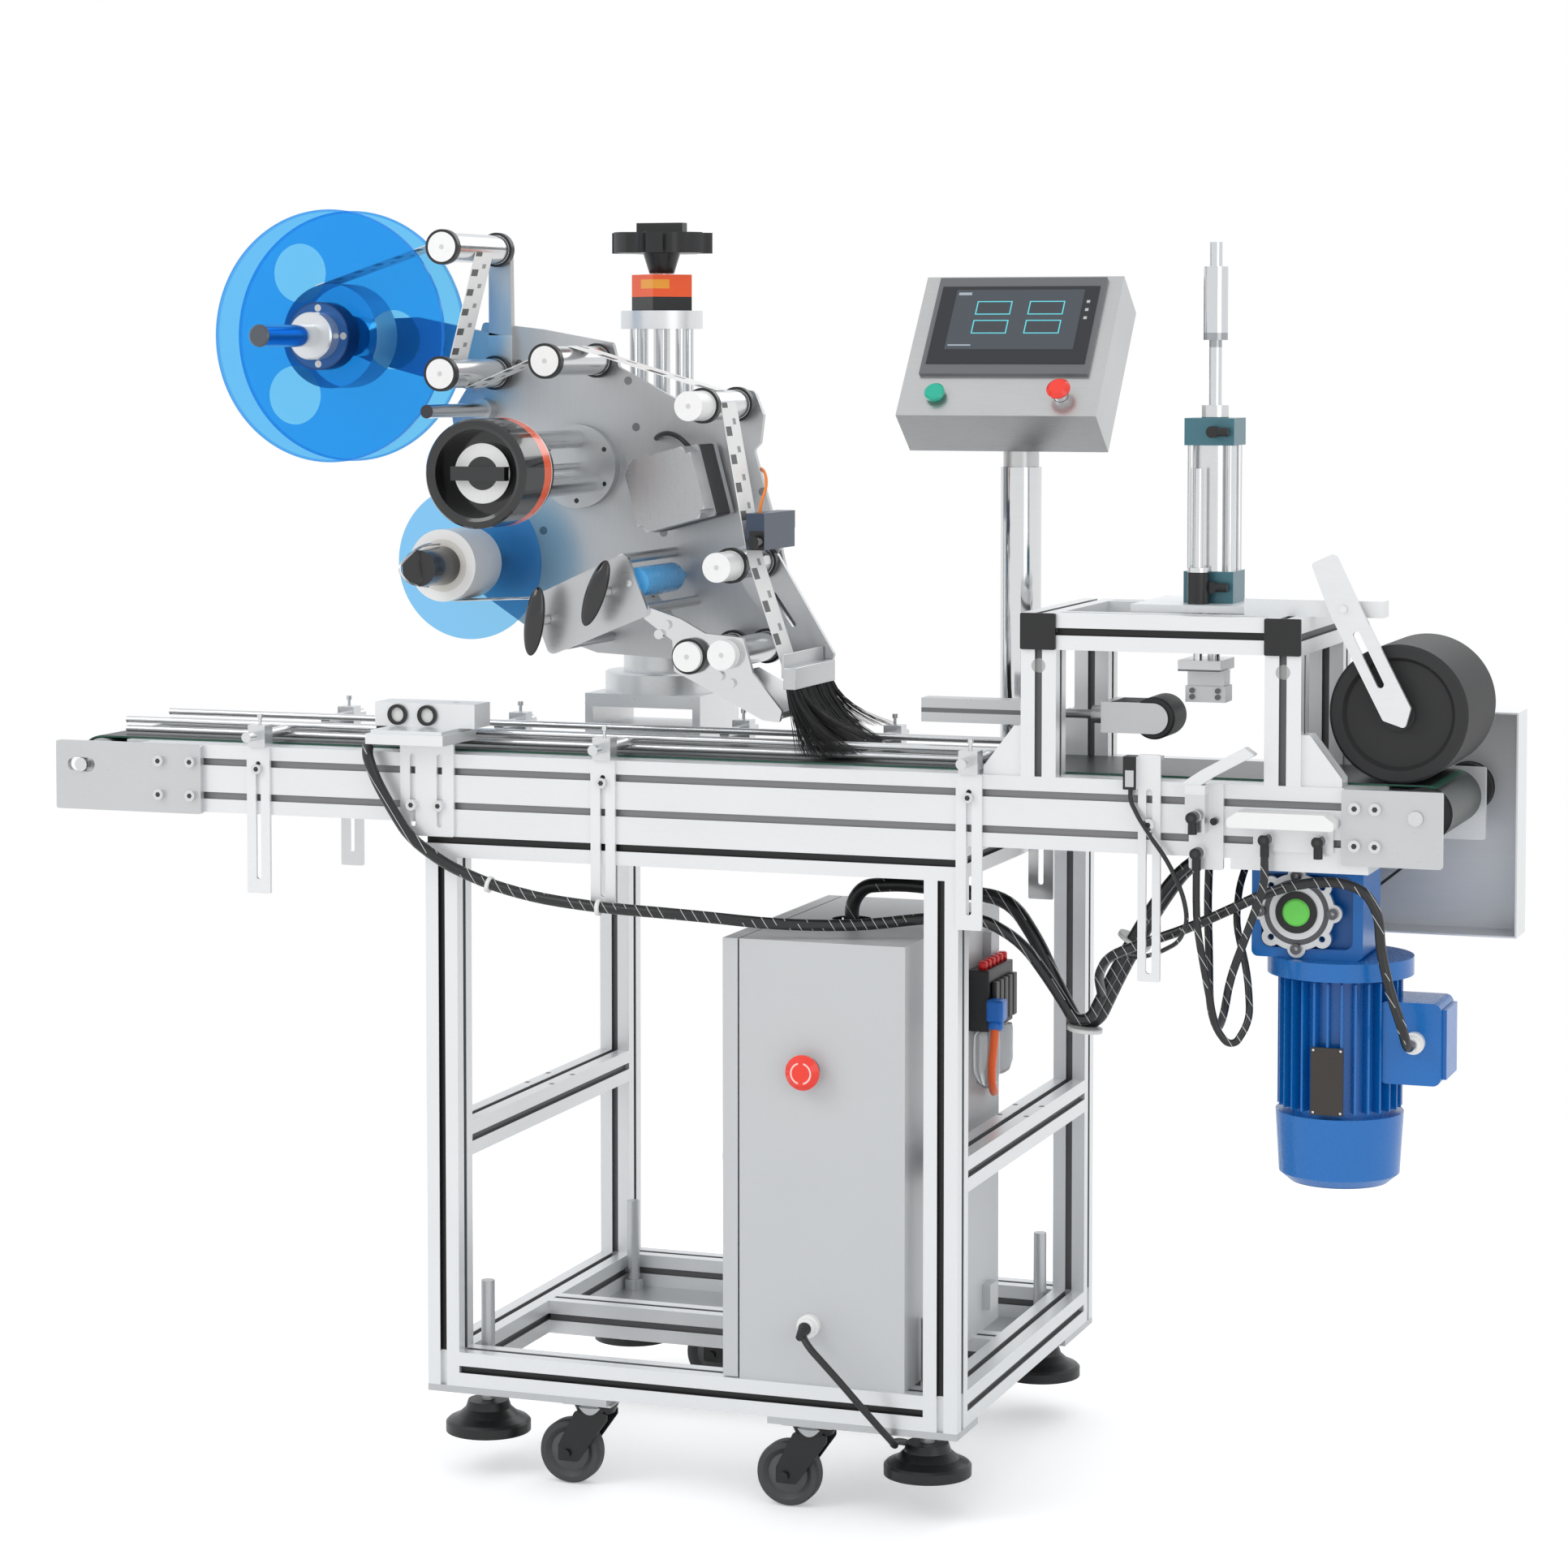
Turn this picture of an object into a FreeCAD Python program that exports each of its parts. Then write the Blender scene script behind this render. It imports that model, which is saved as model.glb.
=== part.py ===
# Box labelling machine: stand on castors, belt conveyor, label head on a lift column,
# box feeder tower with air cylinders, worm gear drive and tilted control console.
# Millimetres. X runs along the conveyor, Y from front to back, Z up from the floor.
import FreeCAD
import Part
import math
import os
import re
from FreeCAD import Placement, Rotation, Vector

doc = FreeCAD.newDocument("box_labelling_machine")
dims = doc.addObject("Spreadsheet::Sheet", "dims")

# Driving dimensions. Places are measured from the frame's left front corner on the floor.
sizes = {
    # stand of slotted aluminium bars
    "frame_wide": 647, "frame_deep": 570, "frame_low": 110, "frame_high": 660, "bar_size": 40,
    "slot_wide": 8.2, "slot_deep": 6, "mid_rail_low": 375, "cross_rail_back": 265,
    "column_rail_back": 330, "plate_thick": 8, "foot_plate_long": 225, "foot_plate_deep": 80,
    "back_plate_deep": 125,
    # castors and levelling feet
    "wheel_dia": 75, "wheel_thick": 25, "wheel_axle_dia": 10, "wheel_trail": 30,
    "castor_left": 197, "castor_right": 466, "castor_front": 38, "castor_back": 512,
    "fork_gap": 2.5, "fork_wall": 3, "swivel_pin_dia": 12, "castor_top_thick": 3,
    "foot_dia": 100, "foot_clear": 46, "foot_rod_dia": 16, "foot_rod_top": 224,
    "foot_side": 52, "foot_in": 56,
    # conveyor
    "bed_low": 770, "bed_high": 80, "bed_deep": 260, "rail_thick": 30,
    "bed_left": -372, "bed_right": 1120, "end_plate_thick": 8,
    "left_plate_end": -482, "left_plate_in": -288, "right_plate_in": 1076, "right_plate_end": 1184,
    "belt_top": 852, "belt_thick": 2, "belt_wide": 178, "belt_gap": 0.3,
    "roller_dia": 56, "idler_x": -447, "drive_x": 1156, "roller_axle_dia": 16,
    "running_fit": 0.08, "free_gap": 0.3, "sheet_thick": 3,
    # side guides
    "guide_plate_wide": 30, "guide_plate_thick": 4, "guide_rod_dia": 12, "guide_rail_dia": 8,
    "guide_rod_high": 864, "guide_low": 677, "guide_reach": 72,
    # cabinet
    "cab_gap": 63, "cab_wide": 197, "cab_right": "=frame_wide - cab_gap",
    "cab_left": "=cab_right - cab_wide", "cab_front": 4, "cab_deep": 366, "cab_low": 150,
    "cab_high": 503, "cab_wall": 2, "door_thick": 18, "door_gap": 2, "stop_dia": 40, "stop_in": 82,
    "stop_z": 508, "gland_in": 85, "gland_z": 218, "door_pin_dia": 6, "cord_dia": 8,
    # console
    "pole_x": 630, "pole_y": 300, "pole_dia": 48, "pole_wall": 3, "pole_top": 1180,
    "console_left": 500, "console_wide": 241, "console_tall": 204, "console_deep": 70,
    "console_tilt": 37.5, "console_low_y": 223, "console_low_z": 1241, "console_wall": 1.5,
    "screen_wide": 204, "screen_tall": 142, "screen_up": 57, "start_dia": 24,
    # lift column
    "col_x": 158, "col_y": 350, "col_flange_dia": 140, "col_flange_high": 25,
    "col_neck_dia": 95, "col_neck_high": 28, "col_block_wide": 150, "col_block_deep": 134,
    "col_block_low": 846, "col_block_high": 53, "col_rod_dia": 12, "col_rod_reach": 40,
    "col_top_z": 1342, "col_top_thick": 22, "col_top_dia": 100, "screw_dia": 20,
    "counter_size": 54, "counter_high": 44, "knob_dia": 124, "knob_high": 25,
    "carriage_low": 1100, "carriage_high": 90, "carriage_dia": 116,
    # label head
    "head_face": 210, "head_thick": 8, "guide_front": 35, "guide_roller_dia": 34,
    "ring_dia": 41, "ring_thick": 9, "guide_axle_dia": 8,
    "reel_x": -164, "reel_z": 1333, "reel_dia": 300, "disc_thick": 4, "reel_front": 88,
    "reel_gap": 57, "disc_hole_dia": 70, "disc_hole_reach": 84, "roll_dia": 124, "hub_dia": 80,
    "spindle_dia": 26, "spindle_front": -92,
    "rewind_x": -9, "rewind_z": 1064, "rewind_dia": 184, "core_dia": 85, "mandrel_dia": 46,
    "tension_x": 109, "tension_z": 1178, "tension_dia": 124, "tension_flange_dia": 100,
    "tension_front": -98, "tension_rod_dia": 22,
    "step_x": 255, "step_z": 1155, "step_size": 86, "step_tilt": 15, "step_front": 110,
    "nip_front": 40, "arm_front": 46, "arm_thick": 6, "brush_front": 50, "brush_wide": 137,
    # feeder tower
    "tower_left": 718, "tower_right": 990, "tower_top": 1030,
    "lift_x": 903, "lift_y": 130, "lift_block": 56, "lift_low": 1038, "lift_high": 204,
    "rod_dia": 14, "side_y": 103, "side_z": 911, "side_left": 575, "side_long": 150,
    "side_size": 27, "push_x": 849, "push_dia": 47, "push_wide": 58, "push_axle_dia": 10,
    "press_dia": 150, "press_x": 1127, "press_front": 40, "press_long": 178,
    "pivot_x": 1070, "pivot_z": 1040, "press_arm_thick": 6,
    "press_arm_front": 26, "bracket_long": 44, "bracket_high": 55, "bracket_wide": 30,
    "bracket_thick": 4,
    # drive
    "gear_x": 1014, "gear_y": 112, "gear_z": 706, "worm_offset": 38, 
    "gear_deep": 96, "motor_flange_dia": 160, "motor_flange_thick": 20,
    "motor_dia": 112, "motor_fin_dia": 136, "motor_long": 152, "fan_cover_dia": 140,
    "fan_cover_long": 78, "guard_right": 1216, "guard_left": 960, "guard_low": 655,
    "guard_high": 255, "guard_front": 285, "guard_deep": 60, "guard_wall": 2,
    "pulley_dia": 50, "pulley_wide": 24, "pocket_rim": 11, "pocket_deep": 16, "lobe_reach": 40,
    "lobe_dia": 20, "flange_dia": 84, "flange_thick": 8,
    # devices on the front rail: sensors, slotted strap, stopper and valve
    "sensor_x": -73, "sensor_long": 127, "sensor_low": 878, "sensor_high": 28, "shelf_x": -60,
    "shelf_long": 98, "shelf_low": 862, "sensor_foot_x": -30, "sensor_foot_wide": 68,
    "sensor_foot_low": 754, "strap_x": 852, "strap_wide": 25, "strap_low": 631, "strap_high": 248,
    "stopper_x": 909, "stopper_wide": 38, "stopper_low": 757, "valve_x": 957, "valve_wide": 116,
    "valve_low": 807, "valve_high": 17, "fitting_dia": 13,
}
for row, (name, value) in enumerate(sizes.items(), 1):
    dims.set("A%d" % row, name)
    dims.set("B%d" % row, str(value))
    dims.setAlias("B%d" % row, name)
doc.recompute()

ALONG = {
    "x": Rotation(Vector(1, 1, 1), 120),
    "y": Rotation(Vector(1, 1, 1), 240),
    "z": Rotation(),
}
nodes = {}


def formula(size):
    text = size if isinstance(size, str) else "%.5f" % size
    return re.sub(r"[a-z][a-z_]*", lambda word: "dims." + word.group(0), text)


def val(size):
    return float(dims.evalExpression(formula(size)))


def place(piece, x, y, z, turn="z"):
    """Put a piece at a place from the sheet, turned along an axis or by a rotation"""
    piece.Placement = Placement(Vector(), ALONG[turn] if isinstance(turn, str) else turn)
    for axis, size in zip("xyz", (x, y, z)):
        piece.setExpression(".Placement.Base." + axis, formula(size))
    return piece


def box(x, y, z, wide, deep, high, turn="z"):
    piece = doc.addObject("Part::Box", "box")
    for key, size in (("Length", wide), ("Width", deep), ("Height", high)):
        piece.setExpression(key, formula(size))
    return place(piece, x, y, z, turn)


def rod(along, x, y, z, dia, length):
    piece = doc.addObject("Part::Cylinder", "rod")
    piece.setExpression("Radius", "(%s) / 2" % formula(dia))
    piece.setExpression("Height", formula(length))
    return place(piece, x, y, z, along)


def cone(along, x, y, z, dia, far_dia, length):
    piece = doc.addObject("Part::Cone", "cone")
    piece.setExpression("Radius1", "(%s) / 2" % formula(dia))
    piece.setExpression("Radius2", "(%s) / 2" % formula(far_dia))
    piece.setExpression("Height", formula(length))
    return place(piece, x, y, z, along)


def ellipsoid(x, y, z, half_wide, half_deep, half_high, turn="z"):
    piece = doc.addObject("Part::Ellipsoid", "ellipsoid")
    for key, size in (("Radius1", half_high), ("Radius2", half_wide), ("Radius3", half_deep)):
        piece.setExpression(key, formula(size))
    return place(piece, x, y, z, turn)


def group(*pieces):
    whole = doc.addObject("Part::Compound", "group")
    whole.Links = list(pieces)
    return whole


def fuse(*pieces):
    whole = doc.addObject("Part::MultiFuse", "fuse")
    whole.Shapes = list(pieces)
    return whole


def cut(base, *tools):
    piece = doc.addObject("Part::Cut", "cut")
    piece.Base = base
    piece.Tool = tools[0] if len(tools) == 1 else fuse(*tools)
    return piece


def ring(along, x, y, z, dia, bore, length):
    return cut(rod(along, x, y, z, dia, length), rod(along, x, y, z, bore, length))


def rounded(points, radius):
    """Straight edges of a closed outline with an arc of one radius at every corner"""
    corners = [Vector(val(a), val(b), 0) for a, b in points]
    if not radius:
        return [Part.LineSegment(corners[index - 1], corner) for index, corner in enumerate(corners)]
    edges = []
    starts = []
    ends = []
    for index, corner in enumerate(corners):
        back = (corners[index - 1] - corner).normalize()
        ahead = (corners[(index + 1) % len(corners)] - corner).normalize()
        half = back.getAngle(ahead) / 2
        inset = radius / math.tan(half)
        start = corner + back * inset
        end = corner + ahead * inset
        inward = (back + ahead).normalize()
        middle = corner + inward * (radius / math.sin(half) - radius)
        edges.append(Part.Arc(start, middle, end))
        starts.append(start)
        ends.append(end)
    for index, end in enumerate(ends):
        edges.append(Part.LineSegment(end, starts[(index + 1) % len(starts)]))
    return edges


def hole_edges(hole):
    """A round hole (x, z, dia) or a slot (x, z, x, z, width)"""
    sizes_here = [val(size) for size in hole]
    if len(sizes_here) == 3:
        x, z, dia = sizes_here
        return [Part.Circle(Vector(x, z, 0), Vector(0, 0, 1), dia / 2)]
    first = Vector(sizes_here[0], sizes_here[1], 0)
    last = Vector(sizes_here[2], sizes_here[3], 0)
    way = (last - first).normalize()
    side = Vector(-way.y, way.x, 0) * (sizes_here[4] / 2)
    cap = way * (sizes_here[4] / 2)
    return [Part.LineSegment(first + side, last + side),
            Part.Arc(last + side, last + cap, last - side),
            Part.LineSegment(last - side, first - side),
            Part.Arc(first - side, first - cap, first + side)]


def sketch_in(body, role, edges):
    """Sketch on one of the body's own origin planes"""
    sketch = body.newObject("Sketcher::SketchObject", "outline")
    planes = [item for item in body.Origin.OriginFeatures if item.Role == role]
    sketch.AttachmentSupport = [(planes[0], "")]
    sketch.MapMode = "FlatFace"
    for edge in edges:
        sketch.addGeometry(edge, False)
    return sketch


def plate(points, y, thick, holes=(), radius=0, turn="z", x=0, z=0):
    """Flat plate with its outline in X and Z, as thick as given from its front face at y"""
    body = doc.addObject("PartDesign::Body", "plate")
    edges = rounded(points, radius)
    for hole in holes:
        edges += hole_edges(hole)
    pad = body.newObject("PartDesign::Pad", "pad")
    pad.Profile = sketch_in(body, "XZ_Plane", edges)
    pad.Reversed = True
    pad.setExpression("Length", formula(thick))
    return place(body, x, y, z, turn)


def turned(along, x, y, z, points, radius=0):
    """Turned piece: points are (radius, height) pairs going round half its section"""
    body = doc.addObject("PartDesign::Body", "turned")
    spin = body.newObject("PartDesign::Revolution", "spin")
    spin.Profile = sketch_in(body, "XZ_Plane", rounded(points, radius))
    spin.ReferenceAxis = (spin.Profile[0], ["V_Axis"])
    return place(body, x, y, z, along)


def section(edges):
    sketch = doc.addObject("Sketcher::SketchObject", "section")
    for edge in edges:
        sketch.addGeometry(edge, False)
    return sketch


def extrude(sketch, length, along, x, y, z):
    piece = doc.addObject("Part::Extrusion", "bar")
    piece.Base = sketch
    piece.DirMode = "Custom"
    piece.Dir = Vector(0, 0, 1)
    piece.Solid = True
    piece.setExpression("LengthFwd", formula(length))
    return place(piece, x, y, z, along)


def slotted_outline(wide, deep, slots_on_wide, slots_on_deep):
    """Closed section of a slotted bar from (0, 0): slot centres along each pair of sides"""
    half = val("slot_wide") / 2
    cut_in = val("slot_deep")
    low = []
    for centre in slots_on_wide:
        low += [(centre - half, 0), (centre - half, cut_in), (centre + half, cut_in), (centre + half, 0)]
    right = []
    for centre in slots_on_deep:
        right += [(wide, centre - half), (wide - cut_in, centre - half),
                  (wide - cut_in, centre + half), (wide, centre + half)]
    high = [(wide - a, deep - b) for a, b in low]
    left = [(wide - a, deep - b) for a, b in right]
    return [(0, 0)] + low + [(wide, 0)] + right + [(wide, deep)] + high + [(0, deep)] + left


bar_section = section(rounded(slotted_outline(
    val("bar_size"), val("bar_size"), [val("bar_size / 2")], [val("bar_size / 2")]), 0))
rail_section = section(rounded(slotted_outline(
    val("rail_thick"), val("bed_high"), [], [val("bed_high / 4"), val("bed_high * 3 / 4")]), 0))


def bar(along, x, y, z, length):
    """Square slotted bar with its lowest corner at the place given"""
    return extrude(bar_section, length, along, x, y, z)


def node(label, *pieces):
    whole = group(*pieces)
    whole.Label = label
    nodes[label] = whole


def bolt_heads(along, places, dia, high):
    return [rod(along, x, y, z, dia, high) for x, y, z in places]


def make_stand():
    """Bars of the stand, the plates under it and the black strips in its slots"""
    post_high = "frame_high - bar_size"
    inner_wide = "frame_wide - 2 * bar_size"
    inner_deep = "frame_deep - 2 * bar_size"
    right = "frame_wide - bar_size"
    back = "frame_deep - bar_size"
    top = "frame_low + frame_high - bar_size"
    bars = []
    for x in ("0", right):
        for y in ("0", back):
            bars.append(bar("z", x, y, "frame_low", post_high))
        for z in ("frame_low", "mid_rail_low", top):
            bars.append(bar("y", x, "bar_size", z, inner_deep))
    for y in ("0", back):
        bars.append(bar("x", "bar_size", y, "frame_low", inner_wide))
        bars.append(bar("x", "0", y, top, "frame_wide"))
    bars.append(bar("x", "bar_size", "cross_rail_back", "frame_low", inner_wide))
    bars.append(bar("x", "bar_size", "column_rail_back", top, inner_wide))
    node("base_frame", *bars)

    plate_low = "frame_low - plate_thick"
    rod_hole = "foot_rod_dia + 1"
    feet_front = (("foot_side", "foot_in"), ("frame_wide - foot_side", "foot_in"))
    feet_back = (("foot_side", "frame_deep - foot_in"),
                 ("frame_wide - foot_side", "frame_deep - foot_in"))
    plates = []
    for (x, y), left in zip(feet_front, ("0", "frame_wide - foot_plate_long")):
        sheet = box(left, "0", plate_low, "foot_plate_long", "foot_plate_deep", "plate_thick")
        plates.append(cut(sheet, rod("z", x, y, plate_low, rod_hole, "plate_thick")))
    sheet = box("0", "frame_deep - back_plate_deep", plate_low,
                "frame_wide", "back_plate_deep", "plate_thick")
    holes = [rod("z", x, y, plate_low, rod_hole, "plate_thick") for x, y in feet_back]
    plates.append(cut(sheet, *holes))
    for x in ("castor_left", "castor_right"):
        for y in ("castor_front", "castor_back"):
            low = plate_low + " - castor_top_thick"
            plates.append(box(x + " - 30", y + " - 30", low, 60, 60, "castor_top_thick"))
            plates.append(turned("z", x, y, plate_low + " - castor_top_thick", [
                ("0", "0"), ("swivel_pin_dia / 2", "0"), ("swivel_pin_dia / 2", "-17"),
                ("0", "-17")]))
    feet = []
    for x, y in feet_front + feet_back:
        feet.append(turned("z", x, y, "foot_clear", [
            ("0", "0"), ("foot_dia / 2", "0"), ("foot_dia / 2", "11"), ("foot_dia / 2 - 3", "14"),
            ("foot_dia * 0.36", "19"), ("foot_dia * 0.27", "27"), ("foot_dia * 0.24", "36"),
            ("foot_rod_dia / 2", "36"),
            ("foot_rod_dia / 2", "foot_rod_top - foot_clear"), ("0", "foot_rod_top - foot_clear")]))
        for low in ("frame_low - plate_thick - 13", "frame_low"):
            feet.append(ring("z", x, y, low, "foot_rod_dia * 1.5", "foot_rod_dia", 13))
    node("feet_and_plates", *plates, *feet)


def make_castors():
    """Swivelling forks and their wheels"""
    plate_low = "frame_low - plate_thick - castor_top_thick"
    half = "(wheel_thick / 2 + fork_gap)"
    places = (("left_front", "castor_left", "castor_front"), ("right_front", "castor_right", "castor_front"),
              ("left_back", "castor_left", "castor_back"), ("right_back", "castor_right", "castor_back"))
    for name, x, y in places:
        crown_top = plate_low + " - free_gap"
        crown = turned("z", x, y, crown_top, [
            ("swivel_pin_dia / 2 + running_fit", "0"), ("22", "0"), ("26", "-4"), ("22", "-13"),
            ("swivel_pin_dia / 2 + running_fit", "-13")])
        legs = []
        for side in (y + " - " + half + " - fork_wall", y + " + " + half):
            legs.append(plate([("-20", "88"), ("20", "88"), ("20", "80"), ("-wheel_trail + 13", "wheel_dia / 2 - 9"),
                               ("-wheel_trail - 11", "wheel_dia / 2 - 9"), ("-wheel_trail - 11", "wheel_dia / 2 + 9")],
                              side, "fork_wall", radius=3, x=x))
        axle = rod("y", x + " - wheel_trail", y + " - wheel_thick / 2 - fork_gap - fork_wall - 4",
                   "wheel_dia / 2", "wheel_axle_dia", "wheel_thick + 2 * fork_gap + 2 * fork_wall + 8")
        node("castor_fork_" + name, fuse(crown, *legs, axle))
        bore = "wheel_axle_dia / 2 + running_fit"
        rim = "wheel_dia / 2"
        node("castor_wheel_" + name, turned("y", x + " - wheel_trail", y + " - wheel_thick / 2", "wheel_dia / 2", [
            (bore, "0"), ("wheel_axle_dia", "0"), (rim + " - 14", "5"), (rim + " - 8", "1"),
            (rim + " - 2", "1"), (rim, "6"), (rim, "wheel_thick - 6"), (rim + " - 2", "wheel_thick - 1"),
            (rim + " - 8", "wheel_thick - 1"), (rim + " - 14", "wheel_thick - 5"),
            ("wheel_axle_dia", "wheel_thick"), (bore, "wheel_thick")]))


def hose_fitting(x, y, z):
    """Round fitting on a front face with its hose end turned down"""
    return fuse(rod("y", x, y + " - 16", z, "fitting_dia", 16),
                rod("z", x, y + " - 10", z + " - 18", "fitting_dia - 3", 18))


def rail_devices():
    """Photo sensor on its shelf, slotted strap with a sensor, stopper and valve on the front rail"""
    top = "bed_low + bed_high"
    middle = "sensor_x + sensor_long / 2"
    sensor = cut(box("sensor_x", 20, "sensor_low", "sensor_long", 44, "sensor_high"),
                 rod("z", middle + " + 30", 44, "sensor_low + sensor_high - 3", 9, 4))
    lenses = [ring("y", middle + " + %d" % x, 16, "sensor_low + sensor_high / 2", 24, 17, 4) for x in (-34, 4)]
    shelf = fuse(box("shelf_x", -34, "shelf_low", "shelf_long", 94, "sensor_low - shelf_low - 4"),
                 box("shelf_x + 4", -28, "sensor_low - 4", "shelf_long - 8", 84, 4))
    left = "sensor_foot_x"
    right = "sensor_foot_x + sensor_foot_wide"
    slots = [(x, "sensor_foot_low + 14", x, "shelf_low - 16", 7) for x in (left + " + 16", right + " - 18")]
    foot = plate([(left, "sensor_foot_low"), (right, "sensor_foot_low"), (right, "shelf_low"), (left, "shelf_low")],
                 -4, 4, holes=slots, radius=2)
    heads = [rod("y", slot[0], -10, "bed_low + 20", 13, 6) for slot in slots]

    far = "strap_x + strap_wide"
    strap_top = "strap_low + strap_high"
    centre = "strap_x + strap_wide / 2"
    strap = plate([("strap_x", "strap_low"), (far, "strap_low"), (far, strap_top), ("strap_x", strap_top)], -4, 4,
                  holes=[(centre, "strap_low + 12", centre, "bed_low + 68", 7)], radius=2)
    fold = box("strap_x", 0, strap_top + " - 6", "strap_wide", 12, 4)
    eye = box("strap_x - 15", -12, strap_top + " - 38", 15, 20, 36)
    heads.append(rod("y", centre, -10, "bed_low + 33", 13, 6))

    side = "stopper_x + stopper_wide"
    stopper = plate([("stopper_x", "stopper_low"), (side, "stopper_low"), (side, top), ("stopper_x", top)],
                    -5, 5, radius=3)
    block = box("stopper_x", -24, "bed_low + 28", 22, 19, "bed_high - 28")
    tongue = plate([("stopper_x - 5", top), ("stopper_x + 2", top + " + 6"), ("stopper_x + 17", top + " + 16"),
                    ("stopper_x + 64", top + " + 42"), ("stopper_x + 76", top + " + 34"),
                    ("stopper_x + 30", top + " + 9"), ("stopper_x + 17", top)], -22, 17, radius=1.5)
    wing = ellipsoid("stopper_x + 29", -16, "bed_low + 40", 5, 4, 18, Rotation(Vector(0, 1, 0), 55))
    stem = rod("y", "stopper_x + 29", -16, "bed_low + 40", 8, 11)

    valve_far = "valve_x + valve_wide"
    crown = "valve_low + valve_high"
    valve = plate([("valve_x", "valve_low"), (valve_far, "valve_low"), (valve_far, crown + " - 8"),
                   (valve_far + " - 11", crown), ("valve_x + 11", crown), ("valve_x", crown + " - 8")],
                  -34, 34, radius=3)
    base = plate([("valve_x + 23", "valve_low - 27"), (valve_far + " - 6", "valve_low - 27"),
                  (valve_far + " - 6", "valve_low"), ("valve_x + 23", "valve_low")], -6, 6)
    fittings = [hose_fitting("stopper_x + 11", "-24", "bed_low + 46"), hose_fitting("stopper_x + 11", "-5", "bed_low + 5"),
                hose_fitting("valve_x + 38", "-6", "valve_low - 14"), hose_fitting("valve_x + 96", "-6", "valve_low - 14")]
    return [sensor, *lenses, shelf, foot, *heads, strap, fold, eye, stopper, block, tongue, fuse(wing, stem),
            valve, base, *fittings]


def make_conveyor():
    """Side rails, end plates, belt bed, belt and its two rollers"""
    rail_back = "bed_deep - rail_thick"
    axis_z = "belt_top - belt_thick - belt_gap - roller_dia / 2"
    pieces = []
    for y in ("0", rail_back):
        pieces.append(extrude(rail_section, "bed_right - bed_left", "x", "bed_left", y, "bed_low"))
    slot_edge = "roller_axle_dia / 2"
    for y in ("-end_plate_thick", "bed_deep"):
        left = [("left_plate_end", "bed_low - 2"), ("left_plate_in", "bed_low - 2"),
                ("left_plate_in", "bed_low + bed_high"), ("left_plate_end", "bed_low + bed_high")]
        slot = ("idler_x - 11", axis_z, "idler_x + 9", axis_z, "roller_axle_dia + 0.6")
        pieces.append(plate(left, y, "end_plate_thick", holes=[slot], radius=3))
        right = [("right_plate_in", "bed_low - 2"), ("right_plate_end", "bed_low - 2"),
                 ("right_plate_end", "bed_low + bed_high"), ("right_plate_in", "bed_low + bed_high")]
        bore = ("drive_x", axis_z, "roller_axle_dia + 2 * running_fit")
        pieces.append(plate(right, y, "end_plate_thick", holes=[bore], radius=3))
    bed_top = "belt_top - belt_thick - belt_gap"
    bed_length = "drive_x - idler_x - roller_dia - 24"
    pieces.append(box("idler_x + roller_dia / 2 + 12", "rail_thick", bed_top + " - sheet_thick",
                      bed_length, "bed_deep - 2 * rail_thick", "sheet_thick"))
    for x in ("bed_left + 60", "frame_wide * 0.2", "frame_wide * 0.8", "bed_right - 110"):
        pieces.append(box(x, "rail_thick", "bed_low + 4", 40, "bed_deep - 2 * rail_thick", 14))
    pieces.append(rod("y", "idler_x", "-end_plate_thick - 3", axis_z, "roller_axle_dia",
                      "bed_deep + 2 * end_plate_thick + 6"))
    for x in ("left_plate_in - 12", "left_plate_in - 54", "right_plate_in + 15", "right_plate_in + 37"):
        for z in ("bed_low + 20", "bed_low + 60"):
            pieces.append(rod("y", x, "-end_plate_thick - 6", z, 13, 6))
    node("conveyor_frame", *pieces, *rail_devices())

    belt_front = "(bed_deep - belt_wide) / 2"
    core = "roller_dia / 2 + belt_gap"
    skin = "roller_dia / 2 + belt_gap + belt_thick"
    loops = []
    for reach in (skin, core):
        loops.append(fuse(
            rod("y", "idler_x", belt_front, axis_z, "2 * (%s)" % reach, "belt_wide"),
            rod("y", "drive_x", belt_front, axis_z, "2 * (%s)" % reach, "belt_wide"),
            box("idler_x", belt_front, "%s - (%s)" % (axis_z, reach), "drive_x - idler_x",
                "belt_wide", "2 * (%s)" % reach)))
    node("conveyor_belt", cut(*loops))

    bore = "roller_axle_dia / 2 + running_fit"
    node("idler_roller", turned("y", "idler_x", belt_front, axis_z, [
        (bore, "0"), ("roller_dia / 2 - 1", "0"), ("roller_dia / 2", "2"),
        ("roller_dia / 2", "belt_wide - 2"), ("roller_dia / 2 - 1", "belt_wide"), (bore, "belt_wide")]))
    shaft = "roller_axle_dia / 2"
    far = "guard_front + guard_deep - guard_wall - 8"
    start = "-end_plate_thick - 4"
    lift = belt_front + " + end_plate_thick + 4"
    pulley_in = "guard_front + 8 + end_plate_thick + 4"
    node("drive_roller", turned("y", "drive_x", start, axis_z, [
        ("0", "0"), (shaft, "0"), (shaft, lift), ("roller_dia / 2", lift),
        ("roller_dia / 2", lift + " + belt_wide"), (shaft, lift + " + belt_wide"), (shaft, pulley_in),
        ("pulley_dia / 2 + 4", pulley_in), ("pulley_dia / 2 + 4", pulley_in + " + 2"),
        ("pulley_dia / 2", pulley_in + " + 2"), ("pulley_dia / 2", pulley_in + " + pulley_wide - 2"),
        ("pulley_dia / 2 + 4", pulley_in + " + pulley_wide - 2"),
        ("pulley_dia / 2 + 4", pulley_in + " + pulley_wide"),
        (shaft, pulley_in + " + pulley_wide"), (shaft, pulley_in + " + pulley_wide + 8"),
        ("0", pulley_in + " + pulley_wide + 8")]))


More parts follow.
